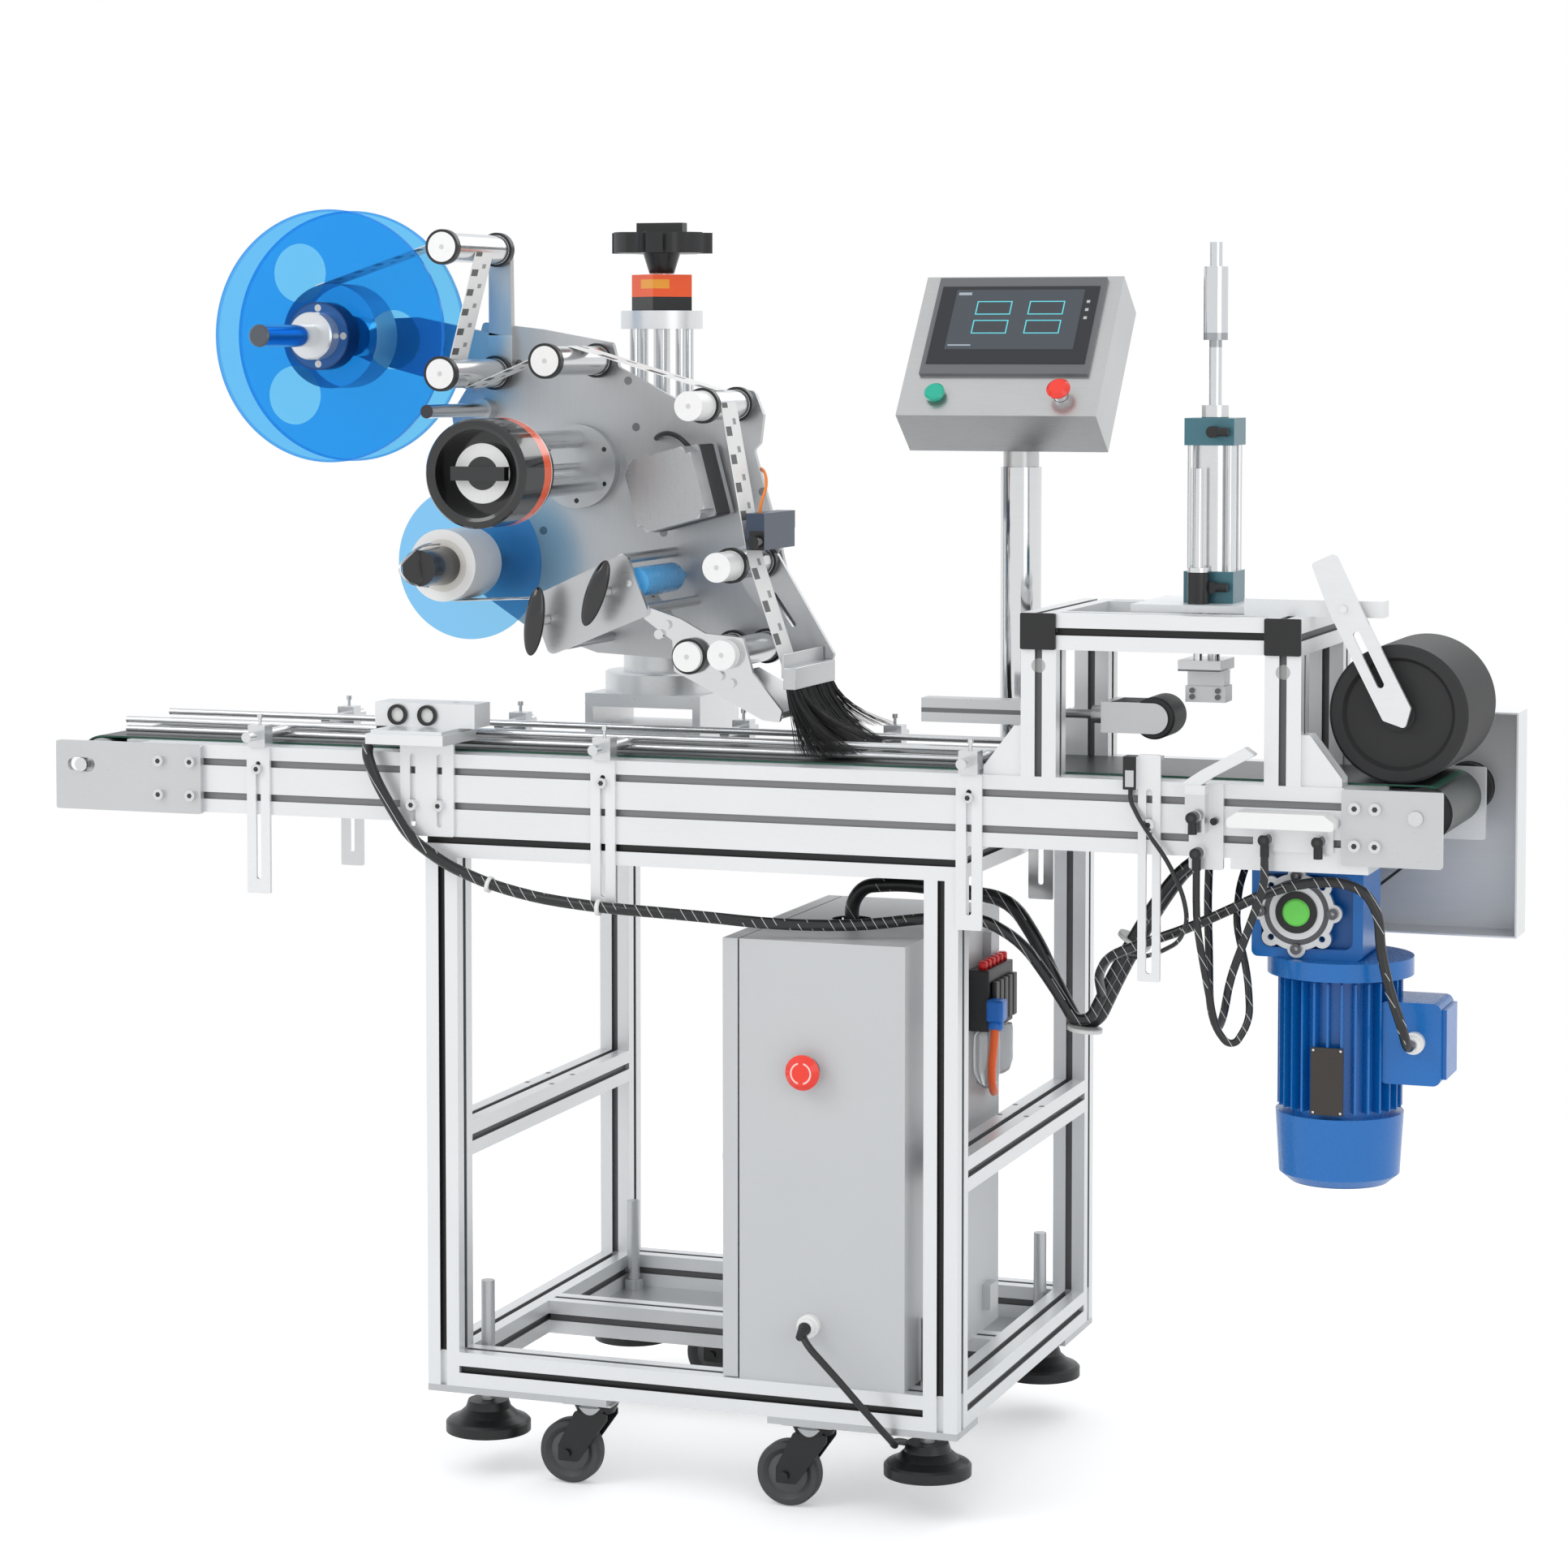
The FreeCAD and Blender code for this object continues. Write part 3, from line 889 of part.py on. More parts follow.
def corner_bracket(x, y, side):
    """Ribbed angle between a post and the rail under it, to the post's right (1) or left (-1)"""
    def across(reach):
        return "%s %s %s" % (x, "+" if side > 0 else "-", reach)
    low = "bed_low + bed_high"
    start = x if side > 0 else across("bracket_long")
    wall = x if side > 0 else across("bracket_thick")
    outline = [(x, low), (across("bracket_long"), low), (across("bracket_long"), low + " + 9"),
               (across("9"), low + " + bracket_high"), (x, low + " + bracket_high")]
    ribs = [plate(outline, rib_front, 3) for rib_front in (y, y + " + bracket_wide - 3")]
    return fuse(box(start, y, low, "bracket_long", "bracket_wide", "bracket_thick"),
                box(wall, y, low, "bracket_thick", "bracket_wide", "bracket_high"), *ribs)


def make_tower():
    """Feeder tower over the belt with its two air cylinders and the press roller"""
    low = "bed_low + bed_high"
    high = "tower_top - bar_size - bed_low - bed_high"
    bars = []
    for x in ("tower_left", "tower_right"):
        for y in ("0", "bed_deep - bar_size"):
            bars.append(bar("z", x, y, low, high))
        bars.append(bar("y", x, "0", "tower_top - bar_size", "bed_deep"))
    bars.append(bar("x", "tower_left + bar_size", "0", "tower_top - bar_size", "tower_right - tower_left - bar_size"))
    bars.append(bar("x", "tower_left + bar_size", "bed_deep - bar_size", "tower_top - bar_size",
                    "tower_right - tower_left - bar_size"))
    deck = cut(box("lift_x - 77", 60, "tower_top", 130, 160, 8),
               rod("z", "lift_x", "lift_y", "tower_top - 1", "rod_dia + 2", 10),
               rod("z", "lift_x - 8", "lift_y - 42", "tower_top - 1", 12, 10))
    rail = box(958, 40, "tower_top", 152, 30, 18)
    pivot = rod("y", "pivot_x", "press_arm_front - 4", "pivot_z", 8, 18)
    brackets = [corner_bracket(x, y, side) for x, side in (("tower_left", -1), ("tower_right + bar_size", 1))
                for y in ("5", "bed_deep - bracket_wide - 5")]
    caps = [plate([(x, "tower_top - bar_size"), (x + " + bar_size", "tower_top - bar_size"),
                   (x + " + bar_size", "tower_top"), (x, "tower_top")], -4, 4, radius=2)
            for x in ("tower_left", "tower_right")]
    node("tower_frame", *bars, deck, fuse(rail, pivot), *brackets, *caps)

    side = "lift_block / 2"
    def slab(z, thick):
        return box("lift_x - " + side, "lift_y - " + side, z, "lift_block", "lift_block", thick)
    rod_bore = "rod_dia + 2 * running_fit"
    low_block = cut(slab("lift_low", 35), rod("z", "lift_x", "lift_y", "lift_low - 1", rod_bore, 40))
    top_block = cut(slab("lift_low + lift_high - 30", 30),
                    rod("z", "lift_x", "lift_y", "lift_low + lift_high - 31", rod_bore, 40))
    tube = ring("z", "lift_x", "lift_y", "lift_low + 35", 48, 42, "lift_high - 65")
    nose = ring("z", "lift_x", "lift_y", "lift_low + lift_high", 30, rod_bore, 14)
    ties = [rod("z", "lift_x + %d" % dx, "lift_y + %d" % dy, "lift_low + 35", 7, "lift_high - 65")
            for dx in (-22, 22) for dy in (-22, 22)]
    bush = ring("z", "lift_x - 8", "lift_y - 42", "lift_low", 24, "10 + 2 * running_fit", 40)
    body = cut(box("side_left", "side_y - side_size / 2", "side_z - side_size / 2", "side_long", "side_size", "side_size"),
               rod("x", "side_left + side_long - 60", "side_y", "side_z", "10 + 2 * running_fit", 61))
    hanger = box("tower_left + 4", "bar_size", "side_z - 20", 12, "side_y - side_size / 2 - bar_size", 40)
    elbows = [fuse(rod("y", "lift_x + 6", "lift_y - %s - 14" % side, z, "fitting_dia", 14),
                   rod("x", "lift_x + 6", "lift_y - %s - 9" % side, z, "fitting_dia - 3", 18))
              for z in ("lift_low + 18", "lift_low + lift_high - 15")]
    node("air_cylinders", low_block, top_block, tube, nose, *ties, bush, body, hanger, *elbows)

    spindle = rod("z", "lift_x", "lift_y", 970, "rod_dia", "1436 - 970")
    piston = rod("z", "lift_x", "lift_y", 1170, "42 - 2 * running_fit", 14)
    sleeve = rod("z", "lift_x", "lift_y", 1328, 27, 81)
    plate_low = box("lift_x - 28", "lift_y - 52", 964, 48, 66, 12)
    foot = fuse(box("lift_x - 28", "lift_y - 17", 927, 45, 34, 18), box("lift_x - 26", "lift_y - 15", 945, 41, 30, 20))
    foot_bolts = bolt_heads("y", [("lift_x + %d" % dx, "lift_y - 20", z) for dx in (-20, 9) for z in (933, 940)], 6, 4)
    guide = rod("z", "lift_x - 8", "lift_y - 42", 970, 10, 217)
    node("lift_rod", fuse(spindle, piston, sleeve, plate_low, foot, guide, *foot_bolts))

    stem = rod("x", "side_left + side_long - 15", "side_y", "side_z", 10, "push_x - 75 - side_left - side_long + 15")
    joint = rod("x", "push_x - 77", "side_y", "side_z", 20, 20)
    cheek_front = "side_y - push_wide / 2 - 4"
    cheek_back = "side_y + push_wide / 2 + 1"
    bridge = box("push_x - 59", cheek_front, "side_z - 17", 10, "push_wide + 8", 34)
    cheeks = []
    for y in (cheek_front, cheek_back):
        cheeks.append(box("push_x - 50", y, "side_z - 17", 50, 3, 34))
        cheeks.append(rod("y", "push_x", y, "side_z", 34, 3))
    pin = rod("y", "push_x", cheek_front, "side_z", "push_axle_dia", "push_wide + 8")
    node("side_rod", fuse(stem, joint, bridge, *cheeks, pin))

    bore = "push_axle_dia / 2 + running_fit"
    node("push_roller", turned("y", "push_x", "side_y - push_wide / 2", "side_z", [
        (bore, "0"), ("push_dia / 2 - 2", "0"), ("push_dia / 2", "2"), ("push_dia / 2", "push_wide - 2"),
        ("push_dia / 2 - 2", "push_wide"), (bore, "push_wide")]))

    press_z = "belt_top + press_dia / 2 + free_gap"
    arm = plate([("press_x + 10", press_z + " - 14"), ("press_x + 16", press_z + " + 8"),
                 ("pivot_x + 16", "pivot_z + 6"), ("pivot_x - 10", "pivot_z + 60"), ("pivot_x - 36", "pivot_z + 48"),
                 ("pivot_x - 16", "pivot_z - 4"), ("press_x - 14", press_z + " - 6")],
                "press_arm_front", "press_arm_thick", radius=4,
                holes=[("pivot_x", "pivot_z", "8 + 2 * running_fit"),
                       ("pivot_x + 14", "pivot_z - 28", "pivot_x + 40", "pivot_z - 80", 8)])
    axle = rod("y", "press_x", "press_arm_front + 4", press_z, 20, "press_front + press_long - press_arm_front - 12")
    node("press_arm", fuse(arm, axle))
    bore = "10 + running_fit"
    rim = "press_dia / 2"
    node("press_roller", turned("y", "press_x", "press_front", press_z, [
        (bore, "0"), ("18", "0"), ("18", "6"), (rim + " - 18", "6"), (rim + " - 14", "0"), (rim + " - 3", "0"),
        (rim, "3"), (rim, "press_long - 3"), (rim + " - 3", "press_long"), (bore, "press_long")]))


def make_drive():
    """Worm gearbox, motor, output pulley, belt and guard"""
    half = "gear_deep / 2"
    front = "gear_y - %s" % half
    shaft = "20 + 2 * running_fit"
    outline = [("gear_x - 51", "gear_z - 51"), ("gear_x + 72", "gear_z - 51"), ("gear_x + 72", "gear_z + 52"),
               ("gear_x - 51", "gear_z + 52")]
    inside = [("gear_x - 51 + pocket_rim", "gear_z - 51 + pocket_rim"),
              ("gear_x + 72 - pocket_rim", "gear_z - 51 + pocket_rim"),
              ("gear_x + 72 - pocket_rim", "gear_z + 52 - pocket_rim"),
              ("gear_x - 51 + pocket_rim", "gear_z + 52 - pocket_rim")]
    case = cut(plate(outline, front, "gear_deep", radius=7),
               plate(inside, front + " - 1", "pocket_deep + 1", radius=10),
               rod("y", "gear_x", front + " + 20", "gear_z", shaft, 100))
    boss = rod("y", "gear_x", front + " + 1", "gear_z", "flange_dia - 16", "pocket_deep")
    flange_front = front + " + 2 - flange_thick"
    lobes = []
    holes = []
    heads = []
    for step in range(8):
        turn = math.radians(45 * step)
        x = "gear_x + lobe_reach * %.5f" % math.cos(turn)
        z = "gear_z + lobe_reach * %.5f" % math.sin(turn)
        lobes.append(rod("y", x, flange_front, z, "lobe_dia", "flange_thick"))
        if step % 2:
            holes.append(rod("y", x, flange_front + " - 1", z, 7, "flange_thick + 2"))
        else:
            heads.append(ring("y", x, flange_front + " - 5", z, 12, 5, 5))
    flange = cut(fuse(rod("y", "gear_x", flange_front, "gear_z", "flange_dia", "flange_thick"), *lobes), *holes)
    cap = turned("y", "gear_x", flange_front + " - 5", "gear_z", [
        ("0", "0"), ("13", "0"), ("15", "2"), ("15", "3"), ("23", "3"), ("23", "5"), ("0", "5")])
    mount = box("gear_x - 60", 0, "bed_low - 12", 150, 200, 12)
    node("gearbox", fuse(case, boss, flange, cap, *heads), mount)

    mx = "gear_x + worm_offset"
    flange_low = "gear_z - 51 - motor_flange_thick"
    body_low = flange_low + " - motor_long"
    pieces = [rod("z", mx, "gear_y", flange_low, "motor_flange_dia", "motor_flange_thick"),
              rod("z", mx, "gear_y", body_low, "motor_dia", "motor_long")]
    deep = "(motor_fin_dia - motor_dia) / 2"
    for step in range(28):
        angle = 360 / 28 * step
        turn = Rotation(Vector(0, 0, 1), angle)
        start = turn * Vector(val("motor_dia") / 2 - 1, -1.25, 0)
        pieces.append(box("%s + %.4f" % (mx, start.x), "gear_y + %.4f" % start.y, body_low + " + 6",
                          deep + " + 1", 2.5, "motor_long - 10", turn))
    cover_low = body_low + " - fan_cover_long"
    pieces.append(turned("z", mx, "gear_y", cover_low, [
        ("0", "0"), ("fan_cover_dia / 2 - 16", "0"), ("fan_cover_dia / 2 - 4", "10"),
        ("fan_cover_dia / 2", "fan_cover_long"), ("0", "fan_cover_long")]))
    near = mx + " + 50"
    far = mx + " + 118"
    pieces.append(plate([(near, 521), (far, 521), (far, 611), (near, 611)], "gear_y - 37", 75, radius=9))
    pieces.append(box(far, "gear_y - 31", 528, 5, 63, 76))
    pieces.append(turned("y", mx + " + 89", "gear_y - 55", 568, [
        ("0", "0"), ("7", "0"), ("9", "3"), ("9", "9"), ("12", "9"), ("12", "18"), ("0", "18")]))
    node("drive_motor", fuse(*pieces))

    belt_in = "guard_front + 8"
    axis_z = "belt_top - belt_thick - belt_gap - roller_dia / 2"
    start = front + " + 22"
    lift = "%s - (%s)" % (belt_in, start)
    rim = "pulley_dia / 2"
    node("output_pulley", turned("y", "gear_x", start, "gear_z", [
        ("0", "0"), ("10", "0"), ("10", lift), (rim + " + 4", lift), (rim + " + 4", lift + " + 2"),
        (rim, lift + " + 2"), (rim, lift + " + pulley_wide - 2"), (rim + " + 4", lift + " + pulley_wide - 2"),
        (rim + " + 4", lift + " + pulley_wide"), ("10", lift + " + pulley_wide"),
        ("10", lift + " + pulley_wide + 8"), ("0", lift + " + pulley_wide + 8")]))
    long = math.hypot(val("drive_x") - val("gear_x"), val(axis_z) - val("gear_z"))
    angle = math.degrees(math.atan2(val(axis_z) - val("gear_z"), val("drive_x") - val("gear_x")))
    lean = Rotation(Vector(0, -1, 0), angle)
    loops = []
    for reach in (val("pulley_dia") / 2 + 3.3, val("pulley_dia") / 2 + 0.3):
        across = lean * Vector(0, 0, -reach)
        loops.append(fuse(rod("y", "gear_x", belt_in + " + 2.5", "gear_z", 2 * reach, "pulley_wide - 5"),
                          rod("y", "drive_x", belt_in + " + 2.5", axis_z, 2 * reach, "pulley_wide - 5"),
                          box("gear_x + %.5f" % across.x, belt_in + " + 2.5", "gear_z + %.5f" % across.z,
                              long, "pulley_wide - 5", 2 * reach, lean)))
    node("drive_belt", cut(*loops))

    wide = "guard_right - guard_left"
    back = "guard_front + guard_deep - guard_wall"
    sheets = [plate([("guard_left", "guard_low"), ("guard_right", "guard_low"), ("guard_right", "guard_low + guard_high"),
                     ("guard_left", "guard_low + guard_high")], back, "guard_wall", radius=0),
              box("guard_left", "guard_front", "guard_low + guard_high - guard_wall", wide, "guard_deep - guard_wall", "guard_wall"),
              box("guard_left", "guard_front", "guard_low", wide, "guard_deep - guard_wall", "guard_wall"),
              box("guard_right - guard_wall", "guard_front", "guard_low + guard_wall", "guard_wall",
                  "guard_deep - guard_wall", "guard_high - 2 * guard_wall"),
              box("guard_left", "guard_front", "guard_low + guard_wall", "guard_wall",
                  "guard_deep - guard_wall", "guard_high - 2 * guard_wall")]
    for x, z, start in ((1010, 810, "bed_deep"), (1100, 838, "bed_deep + end_plate_thick")):
        sheets.append(rod("y", x, start, z, 14, "%s - (%s)" % (back, start)))
    node("drive_guard", *sheets)


def tube(points, dia, name=""):
    """Round tube along straight runs joined by tangent arcs"""
    spots = [Vector(*point) for point in points]
    edges = []
    start = spots[0]
    radii = []
    for before, corner, after in zip(spots, spots[1:], spots[2:]):
        back = (before - corner).normalize()
        ahead = (after - corner).normalize()
        half_turn = (math.pi - back.getAngle(ahead)) / 2
        inset = 0.45 * min((before - corner).Length, (after - corner).Length)
        radius = inset / math.tan(half_turn)
        radii.append(round(radius))
        first = corner + back * inset
        last = corner + ahead * inset
        inward = (back + ahead).normalize()
        middle = corner + inward * (radius / math.cos(half_turn) - radius)
        edges.append(Part.LineSegment(start, first).toShape())
        edges.append(Part.Arc(first, middle, last).toShape())
        start = last
    edges.append(Part.LineSegment(start, spots[-1]).toShape())
    path = Part.Wire(edges)
    way = spots[1] - spots[0]
    rim = Part.Wire(Part.makeCircle(dia / 2, spots[0], way))
    piece = doc.addObject("Part::Feature", "tube")
    piece.Shape = path.makePipeShell([rim], True, False)
    if name:
        section_area = math.pi * dia * dia / 4
        print(name, "length %.0f" % path.Length, "volume ratio %.4f" % (piece.Shape.Volume / section_area / path.Length),
              "radii", radii)
    return piece


def make_cord():
    """Power cord from the cabinet's gland, under the foot plate to a coil behind, and its plug"""
    points = [(472, -12, 218), (474, -30, 215), (486, -40, 204), (503, -44, 190), (526, -45, 168), (549, -40, 141),
              (566, -24, 114), (573, -2, 94), (568, 22, 84), (557, 42, 80), (552, 76, 74), (557, 112, 62),
              (566, 148, 40), (568, 186, 16), (560, 228, 4), (540, 272, 4), (524, 318, 4), (508, 362, 4),
              (488, 400, 4), (455, 425, 4), (420, 448, 4), (392, 482, 4), (378, 524, 4), (366, 566, 4),
              (356, 610, 4), (347, 648, 4), (342, 668, 4)]
    exit_points = [(290, 717, 12), (267, 720, 12), (244, 719, 12)]
    node("power_cord", tube(points, val("cord_dia"), "power cord"), tube(exit_points, val("cord_dia"), "cord end"))
    coil = turned("z", 295, 670, 0, [("35", "0"), ("53", "0"), ("53", "16"), ("35", "16")], radius=4)
    node("cord_coil", coil)
    plug = fuse(box(206, 707, 0, 38, 24, 24), box(190, 711, 4, 16, 16, 16),
                rod("x", 170, 713, 12, 4.8, 20), rod("x", 170, 725, 12, 4.8, 20))
    node("power_plug", plug)


# Held leads and hoses: what each one is, its diameter, and the points of its run
LEADS = (
    ("sensor loom", 13, [(-67.5, 26, 877.9), (-67.5, 26, 868), (-68, -5, 864), (-66, -18, 850), (-56, -18, 822),
                         (-40, -17, 794), (-14, -16, 754), (32, -16, 724), (88, -16, 703), (149, -16, 690),
                         (224, -16, 683), (330, -12, 679), (431, 10, 670), (518, 38, 669), (588, 60, 678),
                         (648, 72, 682), (690, 106, 650), (718, 138, 596), (749, 150, 541), (787, 150, 619),
                         (825, 150, 686), (862, 150, 736), (908, 148, 764), (953.7, 148, 764)]),
    ("cabinet loom", 17, [(457, 194, 646), (457, 194, 672), (472, 194, 692), (518, 192, 697), (580, 186, 694),
                          (655, 177, 687), (690, 171, 640), (714, 169, 590), (738, 168, 548), (762, 168, 556), (790, 168, 616),
                          (828, 168, 684), (864, 168, 736), (908, 168, 764), (953.7, 168, 764)]),
    ("motor lead", 11, [(774, 137, 592), (778, 108, 616), (800, 66, 645), (842, 46, 664), (890, 36, 682),
                        (940, 26, 706), (988, 20, 731), (1030, 18, 744), (1069, 18, 747), (1098, 18, 738),
                        (1112, 20, 712), (1113, 24, 676), (1124, 22, 630), (1138, 20, 592), (1141, 34, 568),
                        (1141, 56.9, 568)]),
    ("stopper hose", 8, [(920, -15, 756.9), (920, -15, 700), (930, -11, 640), (939, -3, 584), (957, 0, 562),
                         (974, 12, 592), (966, 34, 640), (946, 60, 690), (944, 86, 728), (950, 98, 754)]),
    ("valve hose", 9, [(995, -16, 774.9), (995, -16, 745), (976, -16, 690), (956, -8, 640), (944, 16, 596),
                       (930, 44, 572), (914, 74, 596), (908, 96, 650), (904, 104, 700), (904, 110, 748)]),
    ("strap sensor lead", 5, [(844, -6, 840.9), (844, -6, 828), (862, -16, 800), (888, -14, 766), (908, -24, 730),
                              (912, -20, 702), (898, 0, 676), (868, 34, 658), (834, 74, 644), (802, 112, 640),
                              (796, 139, 634)]),
)


def make_wiring():
    """Looms, leads and air hoses that the frame and its devices hold from end to end"""
    node("wiring", *[tube(points, dia, name) for name, dia, points in LEADS])


make_stand()
make_castors()
make_conveyor()
make_guides()
make_cabinet()
make_console()
make_column()
make_head()
make_reels()
make_web()
make_tower()
make_drive()
make_cord()
make_wiring()


# Build everything, then move it so that the origin is under the middle of the machine
doc.recompute()
cords = [name for name in nodes if name in ("power_cord", "cord_coil", "power_plug")]
whole = FreeCAD.BoundBox()
for name, piece in nodes.items():
    if name not in cords:
        whole.add(piece.Shape.BoundBox)
middle = Vector(whole.Center.x, whole.Center.y, whole.ZMin)
for piece in nodes.values():
    piece.Placement = Placement(-middle, Rotation()) * piece.Placement
doc.recompute()
print("origin at", middle, "size", whole.XLength, whole.YLength, whole.ZLength)

for item in doc.Objects:
    if "Invalid" in item.State or "Error" in item.State:
        raise RuntimeError("%s (%s) failed: %s" % (item.Name, item.Label, item.State))
for name, piece in nodes.items():
    if piece.Shape.isNull() or not piece.Shape.isValid():
        raise RuntimeError("%s has no valid shape" % name)
os.makedirs("parts", exist_ok=True)
for name, piece in nodes.items():
    piece.Shape.exportStep("parts/%s.step" % name)
print(len(nodes), "nodes,", sum(len(piece.Shape.Solids) for piece in nodes.values()), "solids")
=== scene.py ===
# Box labelling machine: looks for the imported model
import bpy
import bmesh
import math
import random
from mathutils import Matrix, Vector


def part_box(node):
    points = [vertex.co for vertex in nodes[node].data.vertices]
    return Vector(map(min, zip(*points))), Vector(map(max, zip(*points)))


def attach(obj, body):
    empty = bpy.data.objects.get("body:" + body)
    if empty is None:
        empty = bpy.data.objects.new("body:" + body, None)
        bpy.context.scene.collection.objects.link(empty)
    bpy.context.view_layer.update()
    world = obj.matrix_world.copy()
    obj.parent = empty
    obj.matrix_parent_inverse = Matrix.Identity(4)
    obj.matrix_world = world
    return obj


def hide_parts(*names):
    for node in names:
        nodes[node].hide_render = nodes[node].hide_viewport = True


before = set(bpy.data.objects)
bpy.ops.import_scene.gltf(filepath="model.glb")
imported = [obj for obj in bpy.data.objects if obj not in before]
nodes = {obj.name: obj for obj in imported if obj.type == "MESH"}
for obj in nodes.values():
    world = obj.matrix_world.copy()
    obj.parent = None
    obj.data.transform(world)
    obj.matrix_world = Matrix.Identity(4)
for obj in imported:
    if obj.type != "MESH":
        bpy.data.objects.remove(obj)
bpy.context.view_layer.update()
print("loaded", len(nodes), "nodes")

# Places are in millimetres from the stand's left front corner, and the frame's origin lies here
origin = {"x": 367.0, "y": 236.0}


def spot(x, y, z):
    return Vector(((x - origin["x"]) / 1000, (y - origin["y"]) / 1000, z / 1000))


class Field:
    # a socket that can be used in arithmetic
    def __init__(self, graph, out):
        self.graph = graph
        self.out = out

    def calc(self, operation, *values):
        return self.graph.node("ShaderNodeMath", {"operation": operation}, dict(enumerate(values)))

    def __add__(self, other):
        return self.calc("ADD", self, other)

    def __radd__(self, other):
        return self.calc("ADD", other, self)

    def __sub__(self, other):
        return self.calc("SUBTRACT", self, other)

    def __rsub__(self, other):
        return self.calc("SUBTRACT", other, self)

    def __mul__(self, other):
        return self.calc("MULTIPLY", self, other)

    def __rmul__(self, other):
        return self.calc("MULTIPLY", other, self)

    def __gt__(self, other):
        return self.calc("GREATER_THAN", self, other)

    def __lt__(self, other):
        return self.calc("LESS_THAN", self, other)

    def __or__(self, other):
        return self.calc("MAXIMUM", self, other)

    def fraction(self):
        return self.calc("FRACT", self)

    def root(self):
        return self.calc("SQRT", self)


def anyOf(masks):
    joined = masks[0]
    for mask in masks[1:]:
        joined = joined | mask
    return joined


class Graph:
    # a node tree and the method that adds to it
    def __init__(self, tree):
        self.tree = tree

    def feed(self, socket, value):
        if isinstance(value, Field):
            self.tree.links.new(value.out, socket)
        else:
            socket.default_value = value

    def node(self, kind, settings=None, sockets=None, out=0):
        made = self.tree.nodes.new(kind)
        for key, value in (settings or {}).items():
            setattr(made, key, value)
        for key, value in (sockets or {}).items():
            self.feed(made.inputs[key], value)
        return Field(self, made.outputs[out])

    def show(self, output, surface):
        self.feed(self.tree.nodes[output].inputs[0], surface)


class Finish(Graph):
    # one material, made of nodes
    def __init__(self, name, color, roughness=0.5, metallic=0.0, **fixed):
        self.material = bpy.data.materials.new(name)
        self.material.use_nodes = True
        super().__init__(self.material.node_tree)
        self.shader = self.tree.nodes["Principled BSDF"]
        self.surface = Field(self, self.shader.outputs[0])
        self.fields = {}
        self.tone = color
        self.gloss = roughness
        self.metal = metallic
        self.set("Base Color", (*color, 1))
        self.set("Roughness", roughness)
        self.set("Metallic", metallic)
        for key, value in fixed.items():
            self.set(key.replace("_", " "), value)

    def set(self, name, value):
        self.feed(self.shader.inputs[name], value)

    def place(self):
        if "place" not in self.fields:
            self.fields["place"] = self.node("ShaderNodeTexCoord", out="Object")
        return self.fields["place"]

    def axis(self, name):
        # position along one axis, in millimetres from the stand's corner
        if name not in self.fields:
            raw = self.node("ShaderNodeSeparateXYZ", None, {0: self.place()}, name.upper())
            self.fields[name] = raw * 1000.0 + origin.get(name, 0.0)
        return self.fields[name]

    def within(self, **limits):
        # 1 inside the given limits, such as x=(0, 40)
        mask = None
        for name, (low, high) in limits.items():
            here = self.axis(name)
            parts = ([here > low] if low is not None else []) + ([here < high] if high is not None else [])
            for part in parts:
                mask = part if mask is None else mask * part
        return mask

    def near(self, name, half, *centres):
        # 1 within half a width of any of the centres along one axis
        here = self.axis(name)
        return anyOf([here.calc("COMPARE", here, centre, half) for centre in centres])

    def disc(self, plane, radius, *centres):
        # 1 inside a circle round any of the centres, in a plane such as "xz"
        masks = []
        for first, second in centres:
            across = self.axis(plane[0]) - first
            up = self.axis(plane[1]) - second
            masks.append(across * across + up * up < radius * radius)
        return anyOf(masks)

    def zone(self, mask, color, rough=None, metal=None):
        # another look inside a mask
        self.tone = self.mix(mask, self.tone, color)
        if rough is not None:
            self.gloss = mask * (rough - self.gloss) + self.gloss
        if metal is not None:
            self.metal = mask * (metal - self.metal) + self.metal

    def done(self, grain=(9, 9, 9), scale=60, soil=0.16, bump=0.05, gap=0.06):
        # grain and light wear over every zone
        stretched = self.node("ShaderNodeMapping", None, {"Vector": self.place(), "Scale": grain})
        streaks = self.noise(scale, 4, stretched)
        cloud = self.noise(9, 3)
        worn = self.between(streaks * 0.5 + cloud * 0.5, 1.0 - soil, 1.0 + soil * 0.4)
        self.set("Base Color", self.node("ShaderNodeMix", {"data_type": "RGBA", "blend_type": "MULTIPLY"},
                                         {0: 1.0, 6: self.tint(self.tone), 7: worn}, 2))
        self.set("Roughness", streaks * (2 * gap) + self.gloss - gap)
        if isinstance(self.metal, Field):
            self.set("Metallic", self.metal)
        self.set("Normal", self.node("ShaderNodeBump", None, {
            "Height": streaks, "Strength": bump, "Distance": 0.0002}))
        return self

    def clear(self, solid, tint):
        # see-through in one plain tint where solid is 0
        glass = self.node("ShaderNodeBsdfTransparent", None, {0: (*tint, 1)})
        both = self.node("ShaderNodeMixShader", None, {0: solid, 1: glass, 2: self.surface})
        self.show("Material Output", both)

    def noise(self, scale, detail, place=None):
        return self.node("ShaderNodeTexNoise", None,
                         {"Vector": place or self.place(), "Scale": scale, "Detail": detail})

    def between(self, value, low, high):
        return self.node("ShaderNodeMapRange", None,
                         {"Value": value, "To Min": low, "To Max": high})

    def tint(self, color):
        return color if isinstance(color, Field) else (*color, 1)

    def mix(self, mask, first, second):
        return self.node("ShaderNodeMix", {"data_type": "RGBA"},
                         {0: mask, 6: self.tint(first), 7: self.tint(second)}, 2)


def dress(name, finish):
    # put a finish on a CAD node
    mesh = nodes[name].data
    mesh.materials.clear()
    mesh.materials.append(finish.material)


